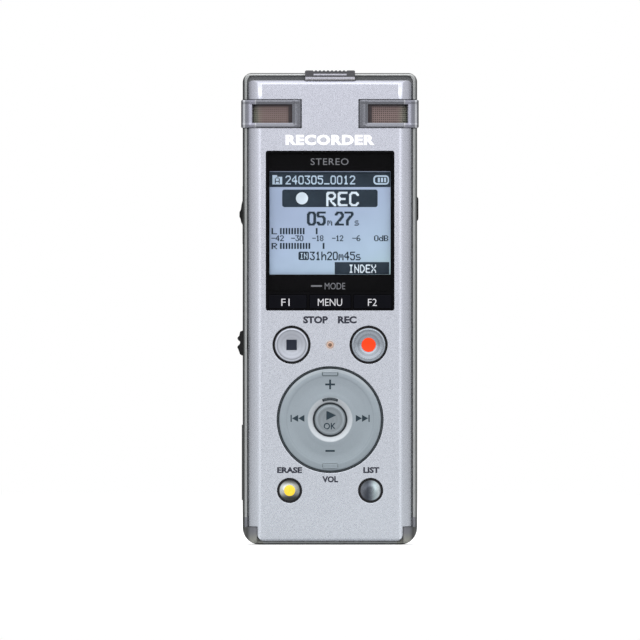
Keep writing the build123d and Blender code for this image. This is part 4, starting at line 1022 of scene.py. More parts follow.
# folder sign with a letter
light.append((-12.95, -10.75, 80.95, 82.65)); light.append((-12.95, -11.9, 82.65, 83.05))
FOLDER_A = dots("A", -12.4, -11.3, 81.15, 82.5, False)
light += dots("240305_0012", -10.0, 5.6, 80.95, 82.95)
# battery sign
light_p.append(box2(9.75, 13.25, 80.9, 83.0, 0.75)); BAT = [box2(10.1, 12.95, 81.25, 82.65, 0.45)]
BATBARS = [(10.75, 11.2, 81.45, 82.45), (11.45, 11.9, 81.45, 82.45), (12.15, 12.6, 81.45, 82.45)]
# banner
dark_p.append(box2(-10.75, 10.7, 75.85, 79.8, 0.5))
white_p.append(disc2(-6.3, 77.83, 1.36))
white += dots("REC", -0.85, 6.35, 76.05, 79.3, bold=0.06)
# time
dark += dots("05", -5.2, -1.3, 71.7, 74.85, bold=0.28)
dark += dots("m", -0.6, 0.45, 71.7, 73.3, False, bold=0.05)
dark += dots("27", 1.05, 4.95, 71.7, 74.85, bold=0.28)
dark += dots("s", 5.5, 6.5, 71.7, 73.3, False, bold=0.05)
# level meters
dark += dots("L", -13.15, -12.0, 69.75, 71.15, False, bold=0.12)
dark += dots("R", -13.15, -12.0, 66.4, 67.8, False, bold=0.12)
for i in range(9):
    x = -11.25 + i * 0.64
    dark.append((x, x + 0.4, 69.75, 71.15))
for i in range(11):
    x = -11.25 + i * 0.64
    dark.append((x, x + 0.4, 66.45, 67.8))
dark.append((-3.2, -2.8, 69.75, 71.15)); dark.append((-1.65, -1.25, 66.45, 67.8))
for text, a, b in (("-42", -13.2, -10.5), ("-30", -8.75, -6.1), ("-18", -4.0, -1.6), ("-12", 0.45, 2.85), ("-6", 5.0, 6.7), ("0dB", 9.9, 12.95)):
    dark += dots(text, a, b, 68.2, 69.5, False, bold=0.10)
# time left, with its store sign
dark_p.append(box2(-7.1, -4.75, 63.95, 65.85, 0.35))
light += dots("IN", -6.75, -5.1, 64.25, 65.55, False)
dark += dots("31h20m45s", -4.55, 6.8, 63.9, 65.85, True, bold=0.07)
# soft key sign
dark.append((1.05, 13.3, 60.75, 63.5))
white += dots("INDEX", 4.2, 10.3, 61.05, 62.95)

lcd_layer("lcd_dark_art", dark, dark_p, "lcd_dark", LW - 0.013)
lcd_layer("lcd_light_art", light, light_p, "lcd_light", LW - 0.027)
lcd_layer("lcd_bright_art", white, white_p, "lcd_white", LW - 0.027)
lcd_layer("lcd_battery_well", FOLDER_A, BAT, "lcd_dark", LW - 0.041)
lcd_layer("lcd_battery_bars", BATBARS, [], "lcd_light", LW - 0.055)

# ================================================================================================
# printing on the control face
# ================================================================================================
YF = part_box("front_cover")[0].y / MM
label("word_top", "RECORDER", -10.0, 10.0, 89.75, 92.1, YF, mat="ink_white_painted_glow", bold=0.05, spacing=1.1, proud=0.03)
label("word_stop", "STOP", -6.05, -0.5, 49.7, 51.35, YF, bold=0.048)
label("word_rec", "REC", 1.75, 5.95, 49.7, 51.35, YF, bold=0.048)
label("word_erase", "ERASE", -11.9, -6.3, 16.1, 17.45, YF, bold=0.048)
label("word_list", "LIST", 7.45, 11.05, 16.1, 17.45, YF, bold=0.048)
label("word_vol", "VOL", -1.75, 1.8, 14.0, 15.4, YF, bold=0.048)

# black border printed on the underside of the window, with the display opening left clear
WL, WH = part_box("display_window")
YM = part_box("window_mask")[0].y / MM - 0.045
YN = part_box("window_mask")[1].y / MM


def frame_slab(name, outer, inner, y0, y1, body, mat):
    n = len(outer)
    vs = [(u, y0, v) for u, v in outer] + [(u, y0, v) for u, v in inner] + [(u, y1, v) for u, v in outer] + [(u, y1, v) for u, v in inner]
    fs = []
    for i in range(n):
        j = (i + 1) % n
        fs += [(i, j, n + j, n + i), (2 * n + i, 3 * n + i, 3 * n + j, 2 * n + j), (i, 2 * n + i, 2 * n + j, j), (n + i, n + j, 3 * n + j, 3 * n + i)]
    return add(name, vs, fs, body, M[mat])


border = frame_slab("window_print", box2(WL.x / MM + 0.03, WH.x / MM - 0.03, WL.z / MM + 0.03, WH.z / MM - 0.03, 0.3, 6), box2(-13.6, 13.6, 60.7, 83.9, 0.12, 6), YM, YN,
                    "root", "print_black")
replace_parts(border, "window_mask")
label("word_panel", "STEREO", -4.35, 4.15, 85.3, 86.8, YM, mat="ink_panel", spacing=1.1, proud=0.012, sink=0.006)
label("word_mode", "MODE", -1.2, 3.4, 57.35, 58.85, YM, mat="ink_panel", proud=0.012, sink=0.006)
shape("dash_mode", [box2(-4.3, -1.8, 57.95, 58.3, 0.15)], YM, mat="ink_panel", proud=0.012, sink=0.006)

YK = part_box("menu_button")[0].y / MM
label("word_f1", "F1", -10.95, -9.1, 53.65, 55.25, YK, "f1_key", "ink_pale", bold=-0.004)
label("word_menu", "MENU", -2.75, 2.7, 53.65, 55.25, YK, "menu_key", "ink_pale", bold=-0.004)
label("word_f2", "F2", 8.5, 10.5, 53.65, 55.25, YK, "f2_key", "ink_pale", bold=-0.004)


# ================================================================================================
# marks that follow a dished or domed key
# ================================================================================================
def on_surface(name, cx, cz, depth, outline_r, body, material, lift=0.03, rings=8, n=48, square=None):
    """A closed enamel patch that follows the key's own dish: depth(r) gives the surface at radius r."""
    vs, fs = [], []

    def point(i, k):
        a = 2 * math.pi * i / n
        ux, uz = math.cos(a), math.sin(a)
        if square:
            s = square / max(abs(ux), abs(uz))
            r = s * k / rings
        else:
            r = outline_r * k / rings
        return ux * r, uz * r, r

    for layer in (0, 1):
        vs.append((cx, depth(0) + (-lift if layer == 0 else 0.03), cz))
        for k in range(1, rings + 1):
            for i in range(n):
                x, z, r = point(i, k)
                fall = lift * (1 - max(0.0, (k - rings + 1.0)) * 0.65) if layer == 0 else 0
                vs.append((cx + x, depth(math.hypot(x, z)) + (-fall if layer == 0 else 0.03), cz + z))
    half = 1 + rings * n
    for layer, base in ((0, 0), (1, half)):
        for i in range(n):
            j = (i + 1) % n
            fs.append((base, base + 1 + i, base + 1 + j))
        for k in range(1, rings):
            for i in range(n):
                j = (i + 1) % n
                a = base + 1 + (k - 1) * n
                fs.append((a + i, a + n + i, a + n + j, a + j))
    a, b = 1 + (rings - 1) * n, half + 1 + (rings - 1) * n
    for i in range(n):
        j = (i + 1) % n
        fs.append((a + i, b + i, b + j, a + j))
    return add(name, vs, fs, body, material, True)


def dish_of(edge_r, y_edge, y_mid):
    return lambda r: y_mid + (y_edge - y_mid) * min(1.0, r / edge_r) ** 2


on_surface("mark_rec_dot", 8.65, 44.9, dish_of(3.3, -7.65, -7.05), 1.6, "rec_key", M["ink_red"], lift=0.06)
on_surface("mark_stop_square", -8.65, 44.9, dish_of(3.2, -7.65, -7.45), 1.2, "stop_key", M["ink_stop"], lift=0.03, square=1.18, n=64)
SR = 2.4


def small_dome(r):
    c = min(1.0, r / SR)
    return -7.2 - 0.55 * math.sin(math.acos(c))


on_surface("mark_erase_dot", -9.1, 12.2, small_dome, 1.25, "erase_key", M["ink_yellow"], lift=0.05)

# ---- ring key artwork and its small raised features ----
def ring_y(r):
    pts = [(4.95, -7.46), (5.3, -7.46), (6.4, -7.38), (7.8, -7.36), (9.2, -7.44), (9.9, -7.52), (10.4, -7.62), (11.1, -7.6)]
    for (a, ya), (b, yb) in zip(pts, pts[1:]):
        if r <= b:
            return ya + (yb - ya) * (r - a) / (b - a)
    return -7.6


RC = 28.1


def ring_face(u, v):
    return ring_y(math.hypot(u, v - RC))


shape("mark_plus", [box2(-1.1, 1.1, 35.8, 36.22), box2(-0.21, 0.21, 36.221, 37.1), box2(-0.21, 0.21, 34.92, 35.799)], ring_face, "ring_key", "ink_ring",
      proud=0.015, sink=0.04)
shape("mark_minus", [box2(-1.05, 1.05, 20.88, 21.3)], ring_face, "ring_key", "ink_ring", proud=0.015, sink=0.04)


def skip_mark(name, sign):
    c = 28.4
    h = 0.78
    p = [box2(*sorted((sign * 8.88, sign * 8.62)), c - h, c + h)]
    for tip in (8.55, 7.15):
        q = [(sign * tip, c), (sign * (tip - 1.38), c - h), (sign * (tip - 1.38), c + h)]
        p.append(q if sign < 0 else q[::-1])
    shape(name, p, ring_face, "ring_key", "ink_ring", proud=0.015, sink=0.04)


skip_mark("mark_back_skip", -1)
skip_mark("mark_forward_skip", 1)


def arc_bar(name, r_mid, half_w, angle0, angle1, base_y, height, body, material, n=26, m=7, cz=RC):
    """A low raised bar that follows the ring, rounded across and tapered at its ends."""
    vs, fs = [], []
    for i in range(n + 1):
        t = i / n
        a = math.radians(angle0 + (angle1 - angle0) * t)
        end = math.sin(math.pi * min(1.0, max(0.0, t))) ** 0.45
        for k in range(m + 1):
            s = -1 + 2 * k / m
            r = r_mid + s * half_w
            y = base_y - height * end * math.sqrt(max(0.0, 1 - s * s))
            vs.append((r * math.sin(a), y, cz + r * math.cos(a)))
        vs.append(((r_mid + half_w) * math.sin(a), base_y + 0.1, cz + (r_mid + half_w) * math.cos(a)))
        vs.append(((r_mid - half_w) * math.sin(a), base_y + 0.1, cz + (r_mid - half_w) * math.cos(a)))
    w = m + 3
    for i in range(n):
        for k in range(w):
            l = (k + 1) % w
            fs.append((i * w + k, i * w + l, (i + 1) * w + l, (i + 1) * w + k))
    fs.append(tuple(range(w)))
    fs.append(tuple(range(n * w + w - 1, n * w - 1, -1)))
    return add(name, vs, fs, body, material, True)


# its dark colour is painted shade
arc_bar("ring_touch_bar", 4.66, 0.34, -22, 22, -7.40, 0.30, "ring_key", M["ring_bump"])
# shadow lines at the feet of the two raised bars
shape("ring_bar_line_top", [box2(-1.7, 1.7, 37.86, 38.08, 0.1), box2(-1.85, -1.6, 38.0, 38.75, 0.1), box2(1.6, 1.85, 38.0, 38.75, 0.1)], ring_face, "ring_key", "ring_bar_edge", proud=0.012, sink=0.05)
shape("ring_bar_line_low", [box2(-1.65, 1.65, 18.16, 18.28, 0.05), box2(-1.8, -1.67, 17.4, 18.2, 0.06), box2(1.67, 1.8, 17.4, 18.2, 0.06)], ring_face, "ring_key", "ring_bar_edge", proud=0.012, sink=0.05)

# ---- centre key: play sign and lettering ----
YO = -7.52
shape("mark_play", [[(-0.85, 30.15), (-0.85, 28.0), (1.35, 29.08)]], YO - 0.02, "ok_key", "ink_ring", proud=0.02, sink=0.08)
label("word_ok", "OK", -1.45, 1.35, 25.9, 27.4, YO - 0.03, "ok_key", "ink_ring", bold=0.02, proud=0.02, sink=0.08)

# ---- dark sleeves deep in the key openings, put where there is only shade: painted shade that gives each key a clean shadow line ----
for nm, x, z, r in (("stop", -8.65, 44.9, 4.2), ("rec", 8.65, 44.9, 4.2), ("erase", -9.1, 12.2, 2.75), ("list", 9.1, 12.2, 2.75), ("ring", 0.0, 28.1, 11.92)):
    prof = [(r - 0.012, -6.98), (r - 0.012, -6.24), (r - 0.10, -6.24), (r - 0.10, -6.86)]
    if nm == "ring":
        prof = [(r - 0.012, -6.98), (r - 0.012, -6.24), (r - 0.09, -6.24), (r - 0.09, -6.86)]
    lathe("liner_" + nm, prof, x, z, "root", M["liner_ring" if nm == "ring" else "key_gap_shade"], n=96)

# ================================================================================================
# silicone sheet with its pads and the snap domes under each key; in the recorder they give way when a key is pressed
# ================================================================================================
def filled(outer, holes):
    """Flat polygon with holes, as points and faces."""
    cu = bpy.data.curves.new("outline", "CURVE")
    cu.dimensions = "2D"
    cu.fill_mode = "BOTH"
    for loop in [outer] + holes:
        sp = cu.splines.new("POLY")
        sp.points.add(len(loop) - 1)
        for p, (u, v) in zip(sp.points, loop):
            p.co = (u, v, 0.0, 1.0)
        sp.use_cyclic_u = True
    ob = bpy.data.objects.new("outline", cu)
    COL.objects.link(ob)
    bpy.context.view_layer.update()
    me = bpy.data.meshes.new_from_object(ob.evaluated_get(bpy.context.evaluated_depsgraph_get()))
    bpy.data.objects.remove(ob)
    vs2, fs2 = [tuple(v.co[:2]) for v in me.vertices], [tuple(p.vertices) for p in me.polygons]
    bpy.data.meshes.remove(me)
    return vs2, fs2


def bite(cx, cz, r, a0, a1, n=14):
    return [(cx + r * math.cos(math.radians(a0 + (a1 - a0) * i / n)), cz + r * math.sin(math.radians(a0 + (a1 - a0) * i / n))) for i in range(n + 1)]


half = [(13.5, 6.4), (13.9, 7.2)] + bite(15.9, 8.5, 2.22, 213.0, 108.4) + bite(14.4, 18.0, 1.4, -55.2, -304.8) + bite(14.4, 50.0, 1.4, -55.2, -304.8) + \
    [(15.2, 56.6), (14.2, 56.6), (14.2, 52.62)]
ROUND_DOMES = [("stop", -8.65, 44.9, 0.66), ("rec", 8.65, 44.9, 0.66), ("erase", -9.1, 12.2, 0.72), ("list", 9.1, 12.2, 0.72)]
SOFT_DOMES = [("f1", -9.55, -13.95, -5.15), ("menu", 0.0, -4.75, 4.75), ("f2", 9.55, 5.15, 13.95)]
sheet_v, sheet_f = filled(half + [(-x, z) for x, z in reversed(half)],
                          [disc2(0.0, 28.1, 12.5, 72), disc2(0.0, 44.9, 1.5, 28)] + [disc2(x, z, 1.25, 28) for _, x, z, _ in ROUND_DOMES])
sheet_p, sheet_q = thick(sheet_v, sheet_f, "front", -5.25, 0.1, 0.1)
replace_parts(add("keypad_sheet", sheet_p, sheet_q, "root", M["silicone"]), "keypad_membrane")


def gives(o):
    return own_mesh(o)


def dome(name, x, z):
    o = lathe("snap_dome_" + name, [(0, -5.13), (0.6, -5.12), (1.2, -5.09), (1.7, -5.02), (2.0, -4.962), (0, -4.962)], x, z, "root", M["dome"], n=40)
    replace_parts(o, "tact_domes")
    return o


for nm, x, z, keep in ROUND_DOMES:
    pad = lathe("key_pad_" + nm, [(0, -5.83), (1.08, -5.83), (1.2, -5.74), (1.2, -5.15), (0, -5.15)], x, z, "root", M["silicone"], n=40)
    gives(pad)
    gives(dome(nm, x, z))
for nm, x, a, b in SOFT_DOMES:
    vs2 = box2(a - 0.05, b + 0.05, 52.7, 56.55, 0.25)
    pad_p, pad_q = thick(vs2, [tuple(range(len(vs2)))], "front", -5.25, 0.1, 0.1)
    gives(add("key_pad_" + nm, pad_p, pad_q, "root", M["silicone"]))
    gives(dome(nm, x, 54.6))
pad = lathe("key_pad_ok", [(0, -5.35), (4.6, -5.35), (4.68, -5.28), (4.68, -5.15), (0, -5.15)], 0.0, 28.1, "root", M["silicone"], n=56)
gives(pad)
gives(dome("ok", 0.0, 28.1))
for nm, x, z in (("up", 0.0, 36.6), ("down", 0.0, 19.6), ("left", -8.5, 28.1), ("right", 8.5, 28.1)):
    dome(nm, x, z)

# ================================================================================================
# microphone screens: real perforated sheet that follows the guard
# ================================================================================================
def path_point(s, off):
    """Point on the sheet's path, s mm from the inner end, off mm outward. Straight front, 45 degree corner, straight side."""
    g_front = -7.55 + 1.23 - off
    diag = 24.2 - 1.23 * math.sqrt(2) + off * math.sqrt(2)
    side = 19.95 - 1.23 + off
    x0 = 7.2
    xb = diag + g_front
    yb = side - diag
    l1 = xb - x0
    l2 = math.hypot(side - xb, yb - g_front)
    if s <= l1:
        return x0 + s, g_front
    if s <= l1 + l2:
        k = (s - l1) / l2
        return xb + (side - xb) * k, g_front + (yb - g_front) * k
    return side, yb + (s - l1 - l2)


def screen(name, sign):
    pitch = 0.46
    z0, z1 = 94.35, 99.35
    rows = int((z1 - z0) / pitch)
    length = 17.5
    cols = int(length / pitch)
    n = 8
    hr = 0.145
    vs, fs = [], []
    index = {}

    def vert(s, z, layer):
        key = (round(s, 5), round(z, 5), layer)
        if key not in index:
            x, y = path_point(s, 0.0 if layer == 0 else -0.12)
            index[key] = len(vs)
            vs.append((sign * x, y, z))
        return index[key]

    for c in range(cols):
        for r in range(rows):
            sx, sz = c * pitch, z0 + r * pitch
            cx, cz = sx + pitch / 2, sz + pitch / 2
            rim = []
            ring = []
            for i in range(n):
                a = 2 * math.pi * i / n
                ca, sa = math.cos(a), math.sin(a)
                k = pitch / 2 / max(abs(ca), abs(sa))
                rim.append((cx + ca * k, cz + sa * k))
                ring.append((cx + ca * hr, cz + sa * hr))
            for i in range(n):
                j = (i + 1) % n
                for layer in (0, 1):
                    q = [vert(*rim[i], layer), vert(*rim[j], layer), vert(*ring[j], layer), vert(*ring[i], layer)]
                    fs.append(tuple(q))
                fs.append((vert(*ring[i], 0), vert(*ring[j], 0), vert(*ring[j], 1), vert(*ring[i], 1)))
    # close the outer border
    for c in range(cols):
        for z in (z0, z0 + rows * pitch):
            pts = [c * pitch, c * pitch + pitch / 2, (c + 1) * pitch]
            for a, b in zip(pts, pts[1:]):
                if all((round(q, 5), round(z, 5), l) in index for q in (a, b) for l in (0, 1)):
                    fs.append((vert(a, z, 0), vert(b, z, 0), vert(b, z, 1), vert(a, z, 1)))
    for r in range(rows):
        for s in (0.0, cols * pitch):
            pts = [z0 + r * pitch, z0 + r * pitch + pitch / 2, z0 + (r + 1) * pitch]
            for a, b in zip(pts, pts[1:]):
                if all((round(s, 5), round(q, 5), l) in index for q in (a, b) for l in (0, 1)):
                    fs.append((vert(s, a, 0), vert(s, b, 0), vert(s, b, 1), vert(s, a, 1)))
    return add(name, vs, fs, "root", M["screen"])


def felt(name, sign):
    """Thin dark felt close behind the sheet, on the same bent path."""
    z0, z1 = 94.3, 99.4
    pts = [path_point(0.05 + 17.3 * i / 40, -0.25) for i in range(41)]
    back = [path_point(0.05 + 17.3 * i / 40, -0.31) for i in range(41)]
    vs, fs = [], []
    for x, y in pts + back:
        vs.append((sign * x, y, z0))
        vs.append((sign * x, y, z1))
    n = len(pts)
    for i in range(n - 1):
        a, b, c, d = 2 * i, 2 * i + 1, 2 * i + 3, 2 * i + 2
        fs += [(a, b, c, d), (2 * n + a, 2 * n + d, 2 * n + c, 2 * n + b), (a, d, 2 * n + d, 2 * n + a), (b, 2 * n + b, 2 * n + c, c)]
    fs += [(0, 2 * n, 2 * n + 1, 1), (2 * n - 2, 2 * n - 1, 4 * n - 1, 4 * n - 2)]
    return add(name, vs, fs, "root", M["screen_back"])


def guard(name, sign, node):
    """Guard swept round the corner: rolled outer edge, raised ridge, and a slope down to the window."""
    z_lo, z_hi, x_in = 93.64, 100.0, 6.45
    wx0, wx1, wz0, wz1 = 8.5, 17.5, 94.77, 98.95
    thick_mm = 0.84
    bend_a = (16.65, -7.55)
    bend_b = (19.95, -4.25)
    rad = 0.6
    # outer path, with rounded bends, as points and unit normals
    path = []

    def seg(p, q, nrm, step=0.12):
        n = max(1, int(math.hypot(q[0] - p[0], q[1] - p[1]) / step))
        for i in range(n + 1):
            path.append((p[0] + (q[0] - p[0]) * i / n, p[1] + (q[1] - p[1]) * i / n, nrm[0], nrm[1]))

    def arc(cx, cy, a0, a1, r, n=6):
        for i in range(1, n):
            a = math.radians(a0 + (a1 - a0) * i / n)
            path.append((cx + r * math.cos(a), cy + r * math.sin(a), math.cos(a), math.sin(a)))

    t = rad * math.tan(math.radians(22.5))
    h = math.sqrt(0.5)
    seg((x_in, -7.55), (bend_a[0] - t, -7.55), (0, -1))
    arc(bend_a[0] - t, -7.55 + rad, -90, -45, rad)
    seg((bend_a[0] + t * h, -7.55 + t * h), (bend_b[0] - t * h, bend_b[1] - t * h), (h, -h))
    arc(bend_b[0] - rad, bend_b[1] + t, -45, 0, rad)
    seg((19.95, bend_b[1] + t), (19.95, 1.42), (1, 0))
    dist = [0.0]
    for (x0, y0, _, _), (x1, y1, _, _) in zip(path, path[1:]):
        dist.append(dist[-1] + math.hypot(x1 - x0, y1 - y0))
    total = dist[-1]

    # arc length of the window ends
    s0 = next(d for p, d in zip(path, dist) if p[0] >= wx0)
    s1 = next(d for p, d in zip(path, dist) if p[0] >= wx1 + 0.3)
    s2 = next(d for p, d in zip(path, dist) if p[0] > 19.9 and p[1] >= -2.9)
    s3 = next(d for p, d in zip(path, dist) if p[0] > 19.9 and p[1] >= 0.5)
    zs = sorted(set([round(z_lo + i * 0.08, 4) for i in range(int((z_hi - z_lo) / 0.08) + 1)] + [z_lo, z_hi, wz0, wz1]))
    zs = [z for i, z in enumerate(zs) if i == 0 or z - zs[i - 1] > 0.015 or z in (z_hi, wz0, wz1)]
    wins = [(s0, s1), (s2, s3)]

    def rect_dist(s, z, a, b, c, d):
        """Distance outside a rectangle with slightly rounded corners."""
        dx = max(a - s, 0, s - b)
        dz = max(c - z, 0, z - d)
        return math.hypot(dx, dz)

    def drop(s, z):
        e = min(s, total - s + 0.4, z - z_lo, z_hi - z)
        cs, cz = s - 0.55, min(z - z_lo, z_hi - z) - 0.55
        if cs < 0 and cz < 0:
            e = 0.55 - math.hypot(cs, cz)
        d = 0.0
        if e < 0.34:
            k = max(0.0, e) / 0.34
            d = 0.36 * (1 - math.sqrt(max(0.0, 1 - (1 - k) ** 2)))
        w = min(rect_dist(s, z, a, b, wz0, wz1) for a, b in wins)
        slope = 0.62
        if w < slope:
            d = max(d, 0.42 * (1 - w / slope))
        groove = abs(w - slope - 0.05)
        if groove < 0.07:
            d += 0.05 * (1 - groove / 0.07)
        return d

    grid = {}
    vs, fs = [], []
    ns, nz = len(path), len(zs)

    def solid_cell(i, j):
        s_mid, z_mid = (dist[i] + dist[i + 1]) / 2, (zs[j] + zs[j + 1]) / 2
        for a, b in wins:
            if a < s_mid < b and wz0 < z_mid < wz1:
                return False
        # rounded inner corners of the front end
        cs, cz = s_mid - 0.55, min(z_mid - z_lo, z_hi - z_mid) - 0.55
        if cs < 0 and cz < 0 and math.hypot(cs, cz) > 0.55:
            return False
        return True

    def vert(i, j, layer):
        key = (i, j, layer)
        if key not in grid:
            x, y, nx, ny = path[i]
            d = drop(dist[i], zs[j]) if layer == 0 else thick_mm
            grid[key] = len(vs)
            vs.append((sign * (x - nx * d), y - ny * d, zs[j]))
        return grid[key]

    cells = {(i, j) for i in range(ns - 1) for j in range(nz - 1) if dist[i + 1] - dist[i] > 1e-6 and solid_cell(i, j)}
    for i, j in cells:
        fs.append((vert(i, j, 0), vert(i + 1, j, 0), vert(i + 1, j + 1, 0), vert(i, j + 1, 0)))
        fs.append((vert(i, j, 1), vert(i, j + 1, 1), vert(i + 1, j + 1, 1), vert(i + 1, j, 1)))
        for di, dj, a, b in ((-1, 0, (i, j), (i, j + 1)), (1, 0, (i + 1, j + 1), (i + 1, j)), (0, -1, (i + 1, j), (i, j)), (0, 1, (i, j + 1), (i + 1, j + 1))):
            if (i + di, j + dj) not in cells:
                fs.append((vert(*a, 0), vert(*b, 0), vert(*b, 1), vert(*a, 1)))
    o = add(name, vs, fs, "root", M["guard"], True)
    m = o.modifiers.new("sharp_corners", "EDGE_SPLIT")
    m.split_angle = math.radians(40)
    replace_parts(o, node)
    return o


guard("guard_left", -1, "mic_guard_left")
guard("guard_right", 1, "mic_guard_right")

SCREEN_L = screen("mic_screen_left", -1)
SCREEN_R = screen("mic_screen_right", 1)
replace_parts(SCREEN_L, "mic_mesh_left")
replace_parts(SCREEN_R, "mic_mesh_right")
felt("mic_felt_left", -1)
felt("mic_felt_right", 1)

# ================================================================================================
# top end, sides and back
# ================================================================================================
ZT = 106.0
for nm, x in (("mic", -11.0), ("ear", 11.0)):
    lathe("jack_ring_" + nm, [(1.84, 105.80), (1.84, 105.985), (1.92, 106.03), (2.28, 106.03), (2.36, 105.985), (2.36, 105.80)], x, 0, "root", M["nickel"],
          n=56, axis="z", cy=-0.4)
    lathe("jack_contact_" + nm, [(1.72, 98.0), (1.72, 98.6), (1.82, 98.7), (1.82, 97.9)], x, 0, "root", M["nickel"], n=40, axis="z", cy=-0.4)
label("word_mic", "MIC", -7.12, None, -0.95, 0.15, ZT, mat="ink_pale", side="top")
label("word_ear", "EAR", 7.12, None, -0.95, 0.15, ZT, mat="ink_pale", side="top")

XL, XR = -19.6, 19.6
label("word_power", "POWER", 1.45, None, 51.0, 52.0, XL, mat="ink_pale", side="left")
label("word_hold", "HOLD", 1.45, None, 38.2, 39.2, XL, mat="ink_pale", side="left")
label("word_card", "CARD", 2.0, None, 65.0, 66.0, XL, mat="ink_pale", side="left")
YB = 7.2
label("word_open", "OPEN", 0.0, None, 40.6, 42.0, YB, "battery_lid", "ink_pale", side="back")
label("word_cell", "AAA  1.5 V", 0.0, None, 9.3, 10.6, YB, "battery_lid", "ink_pale", side="back")
# plus and minus signs in the battery bay
for nm, z, plus in (("plus", 56.8, True), ("minus", 6.6, False)):
    p = [box2(-8.0, -6.9, z - 0.13, z + 0.13)]
    if plus:
        p += [box2(-7.58, -7.32, z + 0.131, z + 0.55), box2(-7.58, -7.32, z - 0.55, z - 0.131)]
    shape("bay_sign_" + nm, p, 6.1, mat="ink_pale", side="back")

# ================================================================================================
# stage: pale floor, soft studio light, camera
# ================================================================================================
def stage_material():
    t = Tree("stage_floor")
    x, y, z = t.xyz()
    r = t.math("SQRT", t.math("ADD", t.math("MULTIPLY", x, x), t.math("MULTIPLY", y, y)))
    far = t.remap(r, 0.10, 0.9, 0.0, 1.0, True)
    eye = t.node("ShaderNodeLightPath").outputs["Is Camera Ray"]
    d = t.node("ShaderNodeBsdfDiffuse")
    d.inputs["Color"].default_value = (0.80, 0.80, 0.805, 1)
    e1 = t.node("ShaderNodeEmission")
    t.put(e1.inputs["Strength"], t.math("MULTIPLY_ADD", eye, 0.40, 0.06))
    add1 = t.node("ShaderNodeAddShader")
    t.put(add1.inputs[0], d.outputs[0])
    t.put(add1.inputs[1], e1.outputs[0])
    e2 = t.node("ShaderNodeEmission")
    t.put(e2.inputs["Strength"], t.math("MULTIPLY_ADD", eye, 0.45, 0.55))
    m = t.node("ShaderNodeMixShader")
    t.put(m.inputs[0], far)
    t.put(m.inputs[1], add1.outputs[0])
    t.put(m.inputs[2], e2.outputs[0])
    t.put(t.out.inputs["Surface"], m.outputs[0])
    return t.m


bm = bmesh.new()
R = 6.0
ring_pts = [bm.verts.new((R * math.cos(2 * math.pi * i / 64), R * math.sin(2 * math.pi * i / 64), -0.00002)) for i in range(64)]
bm.faces.new(ring_pts)
fme = bpy.data.meshes.new("stage_floor")
bm.to_mesh(fme)
bm.free()
fme.materials.append(stage_material())
floor = bpy.data.objects.new("stage_floor", fme)
COL.objects.link(floor)

world = bpy.data.worlds.new("studio")
bpy.context.scene.world = world
world.use_nodes = True
wt = world.node_tree
wt.nodes.clear()


def wn(kind, **p):
    n = wt.nodes.new(kind)
    for k, v in p.items():
        setattr(n, k, v)
    return n


def wm(op, p, q=None, r=None, clamp=False):
    n = wn("ShaderNodeMath", operation=op, use_clamp=clamp)
    for i, v in enumerate((p, q, r)):
        if v is None:
            continue
        if hasattr(v, "is_output"):
            wt.links.new(v, n.inputs[i])
        else:
            n.inputs[i].default_value = v
    return n.outputs[0]


def wramp(v, stops):
    n = wn("ShaderNodeFloatCurve")
    n.mapping.use_clip = False
    c = n.mapping.curves[0]
    while len(c.points) < len(stops):
        c.points.new(0.5, 0.5)
    for pt, (x, y) in zip(c.points, stops):
        pt.location = (x, y)
        pt.handle_type = "AUTO_CLAMPED"
    n.mapping.update()
    wt.links.new(v, n.inputs["Value"])
    return n.outputs[0]


wo = wn("ShaderNodeOutputWorld")
tc = wn("ShaderNodeTexCoord")
sp = wn("ShaderNodeSeparateXYZ")
wt.links.new(tc.outputs["Generated"], sp.inputs[0])
theta = wm("DIVIDE", wm("ARCCOSINE", wm("MULTIPLY", sp.outputs[1], -1.0, clamp=False)), math.pi)     # 0 toward the camera side, 1 behind
elev = wm("DIVIDE", wm("ARCSINE", sp.outputs[2]), math.pi / 2)                                       # -1 down, 1 up
side = sp.outputs[0]
ROUND = [(0, 0.78), (7, 0.80), (11, 1.10), (16, 2.5), (21, 2.0), (30, 1.12), (42, 0.90), (60, 0.80), (80, 0.72), (100, 0.68), (130, 0.62), (180, 0.65)]
base_light = wm("MULTIPLY", wramp(theta, [(d / 180.0, v / 3.0) for d, v in ROUND]), 3.0)
LIFT = [(-90, 0.55), (-35, 0.62), (-12, 0.86), (0, 1.0), (12, 1.16), (24, 1.45), (40, 1.6), (60, 1.9), (90, 0.95)]
lift = wm("MULTIPLY", wramp(wm("MULTIPLY_ADD", elev, 0.5, 0.5), [((e + 90) / 180.0, v / 2.0) for e, v in LIFT]), 2.0)


def wstep(v, lo, hi):
    n = wn("ShaderNodeMapRange", interpolation_type="SMOOTHSTEP")
    wt.links.new(v, n.inputs[0])
    n.inputs[1].default_value, n.inputs[2].default_value = lo, hi
    return n.outputs[0]


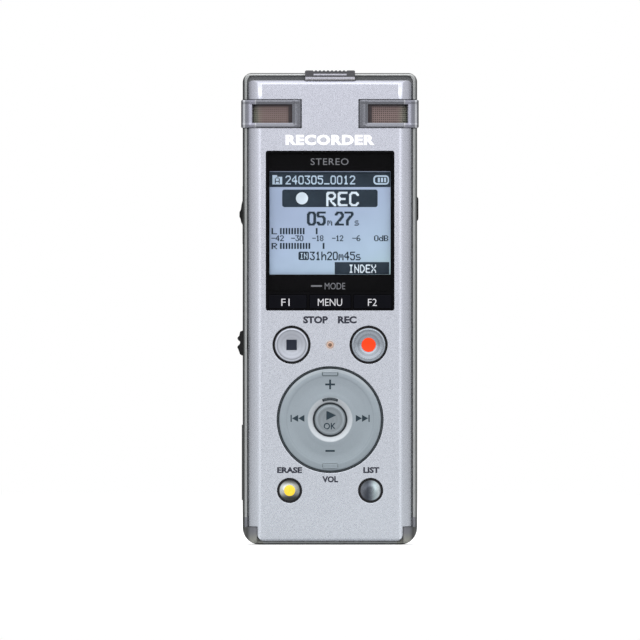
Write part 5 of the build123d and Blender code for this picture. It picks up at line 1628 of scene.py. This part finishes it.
# two dark flags beside and behind the part, near the horizon, that draw the dark line of the side band
behind = wstep(theta, 88 / 180.0, 112 / 180.0)
level = wm("SUBTRACT", 1.0, wstep(wm("ABSOLUTE", elev), 16 / 90.0, 38 / 90.0))
flag = wm("SUBTRACT", 1.0, wm("MULTIPLY", wm("MULTIPLY", behind, level), 0.45))
total = wm("MULTIPLY", wm("MULTIPLY", base_light, lift), flag)
bg1 = wn("ShaderNodeBackground")
bg1.inputs["Color"].default_value = (1.0, 1.0, 1.0, 1)
wt.links.new(total, bg1.inputs["Strength"])
bg2 = wn("ShaderNodeBackground")
bg2.inputs["Color"].default_value = (1, 1, 1, 1)
bg2.inputs["Strength"].default_value = 1.0
lp = wn("ShaderNodeLightPath")
mx = wn("ShaderNodeMixShader")
wt.links.new(lp.outputs["Is Camera Ray"], mx.inputs[0])
wt.links.new(bg1.outputs[0], mx.inputs[1])
wt.links.new(bg2.outputs[0], mx.inputs[2])
wt.links.new(mx.outputs[0], wo.inputs["Surface"])


def area(name, loc, target, size, energy, size_y=None, colour=(1, 1, 1)):
    l = bpy.data.lights.new(name, "AREA")
    l.shape = "RECTANGLE"
    l.size = size
    l.size_y = size_y or size
    l.energy = energy
    l.color = colour
    o = bpy.data.objects.new(name, l)
    o.location = loc
    o.rotation_euler = (Vector(target) - Vector(loc)).to_track_quat("-Z", "Y").to_euler()
    COL.objects.link(o)
    return o


area("softbox_top", (0.0, -0.25, 0.75), (0, 0, 0.06), 0.9, 0.36, 0.6)
area("softbox_left", (-0.55, -0.55, 0.35), (0, 0, 0.05), 0.5, 0.14, 0.8)
area("softbox_back", (0.25, 0.8, 0.5), (0, 0, 0.05), 0.7, 0.22, 0.7)

cam_data = bpy.data.cameras.new("camera")
cam = bpy.data.objects.new("camera", cam_data)
COL.objects.link(cam)
D = 3.0
PX = 4.453                                  # picture pixels per millimetre on the control face, of 640
half_m = 320.0 / PX * MM
cam_data.sensor_width = 36.0
cam_data.lens = 18.0 / (half_m / D)
cam_data.clip_start, cam_data.clip_end = 0.05, 20
az = math.radians(-0.5)
tx, tz = (320.0 - 330.1) / PX * MM, (544.8 - 320.0) / PX * MM
target = Vector((tx, -0.0072, tz))
cam.location = target + Vector((math.sin(az) * D, -math.cos(az) * D, 0.0))
cam.rotation_euler = (target - cam.location).to_track_quat("-Z", "Y").to_euler()
bpy.context.scene.camera = cam

vs = bpy.context.scene.view_settings
vs.view_transform = "Standard"
vs.look = "None"
vs.exposure = 0.0
vs.gamma = 1.0

bpy.context.view_layer.update()
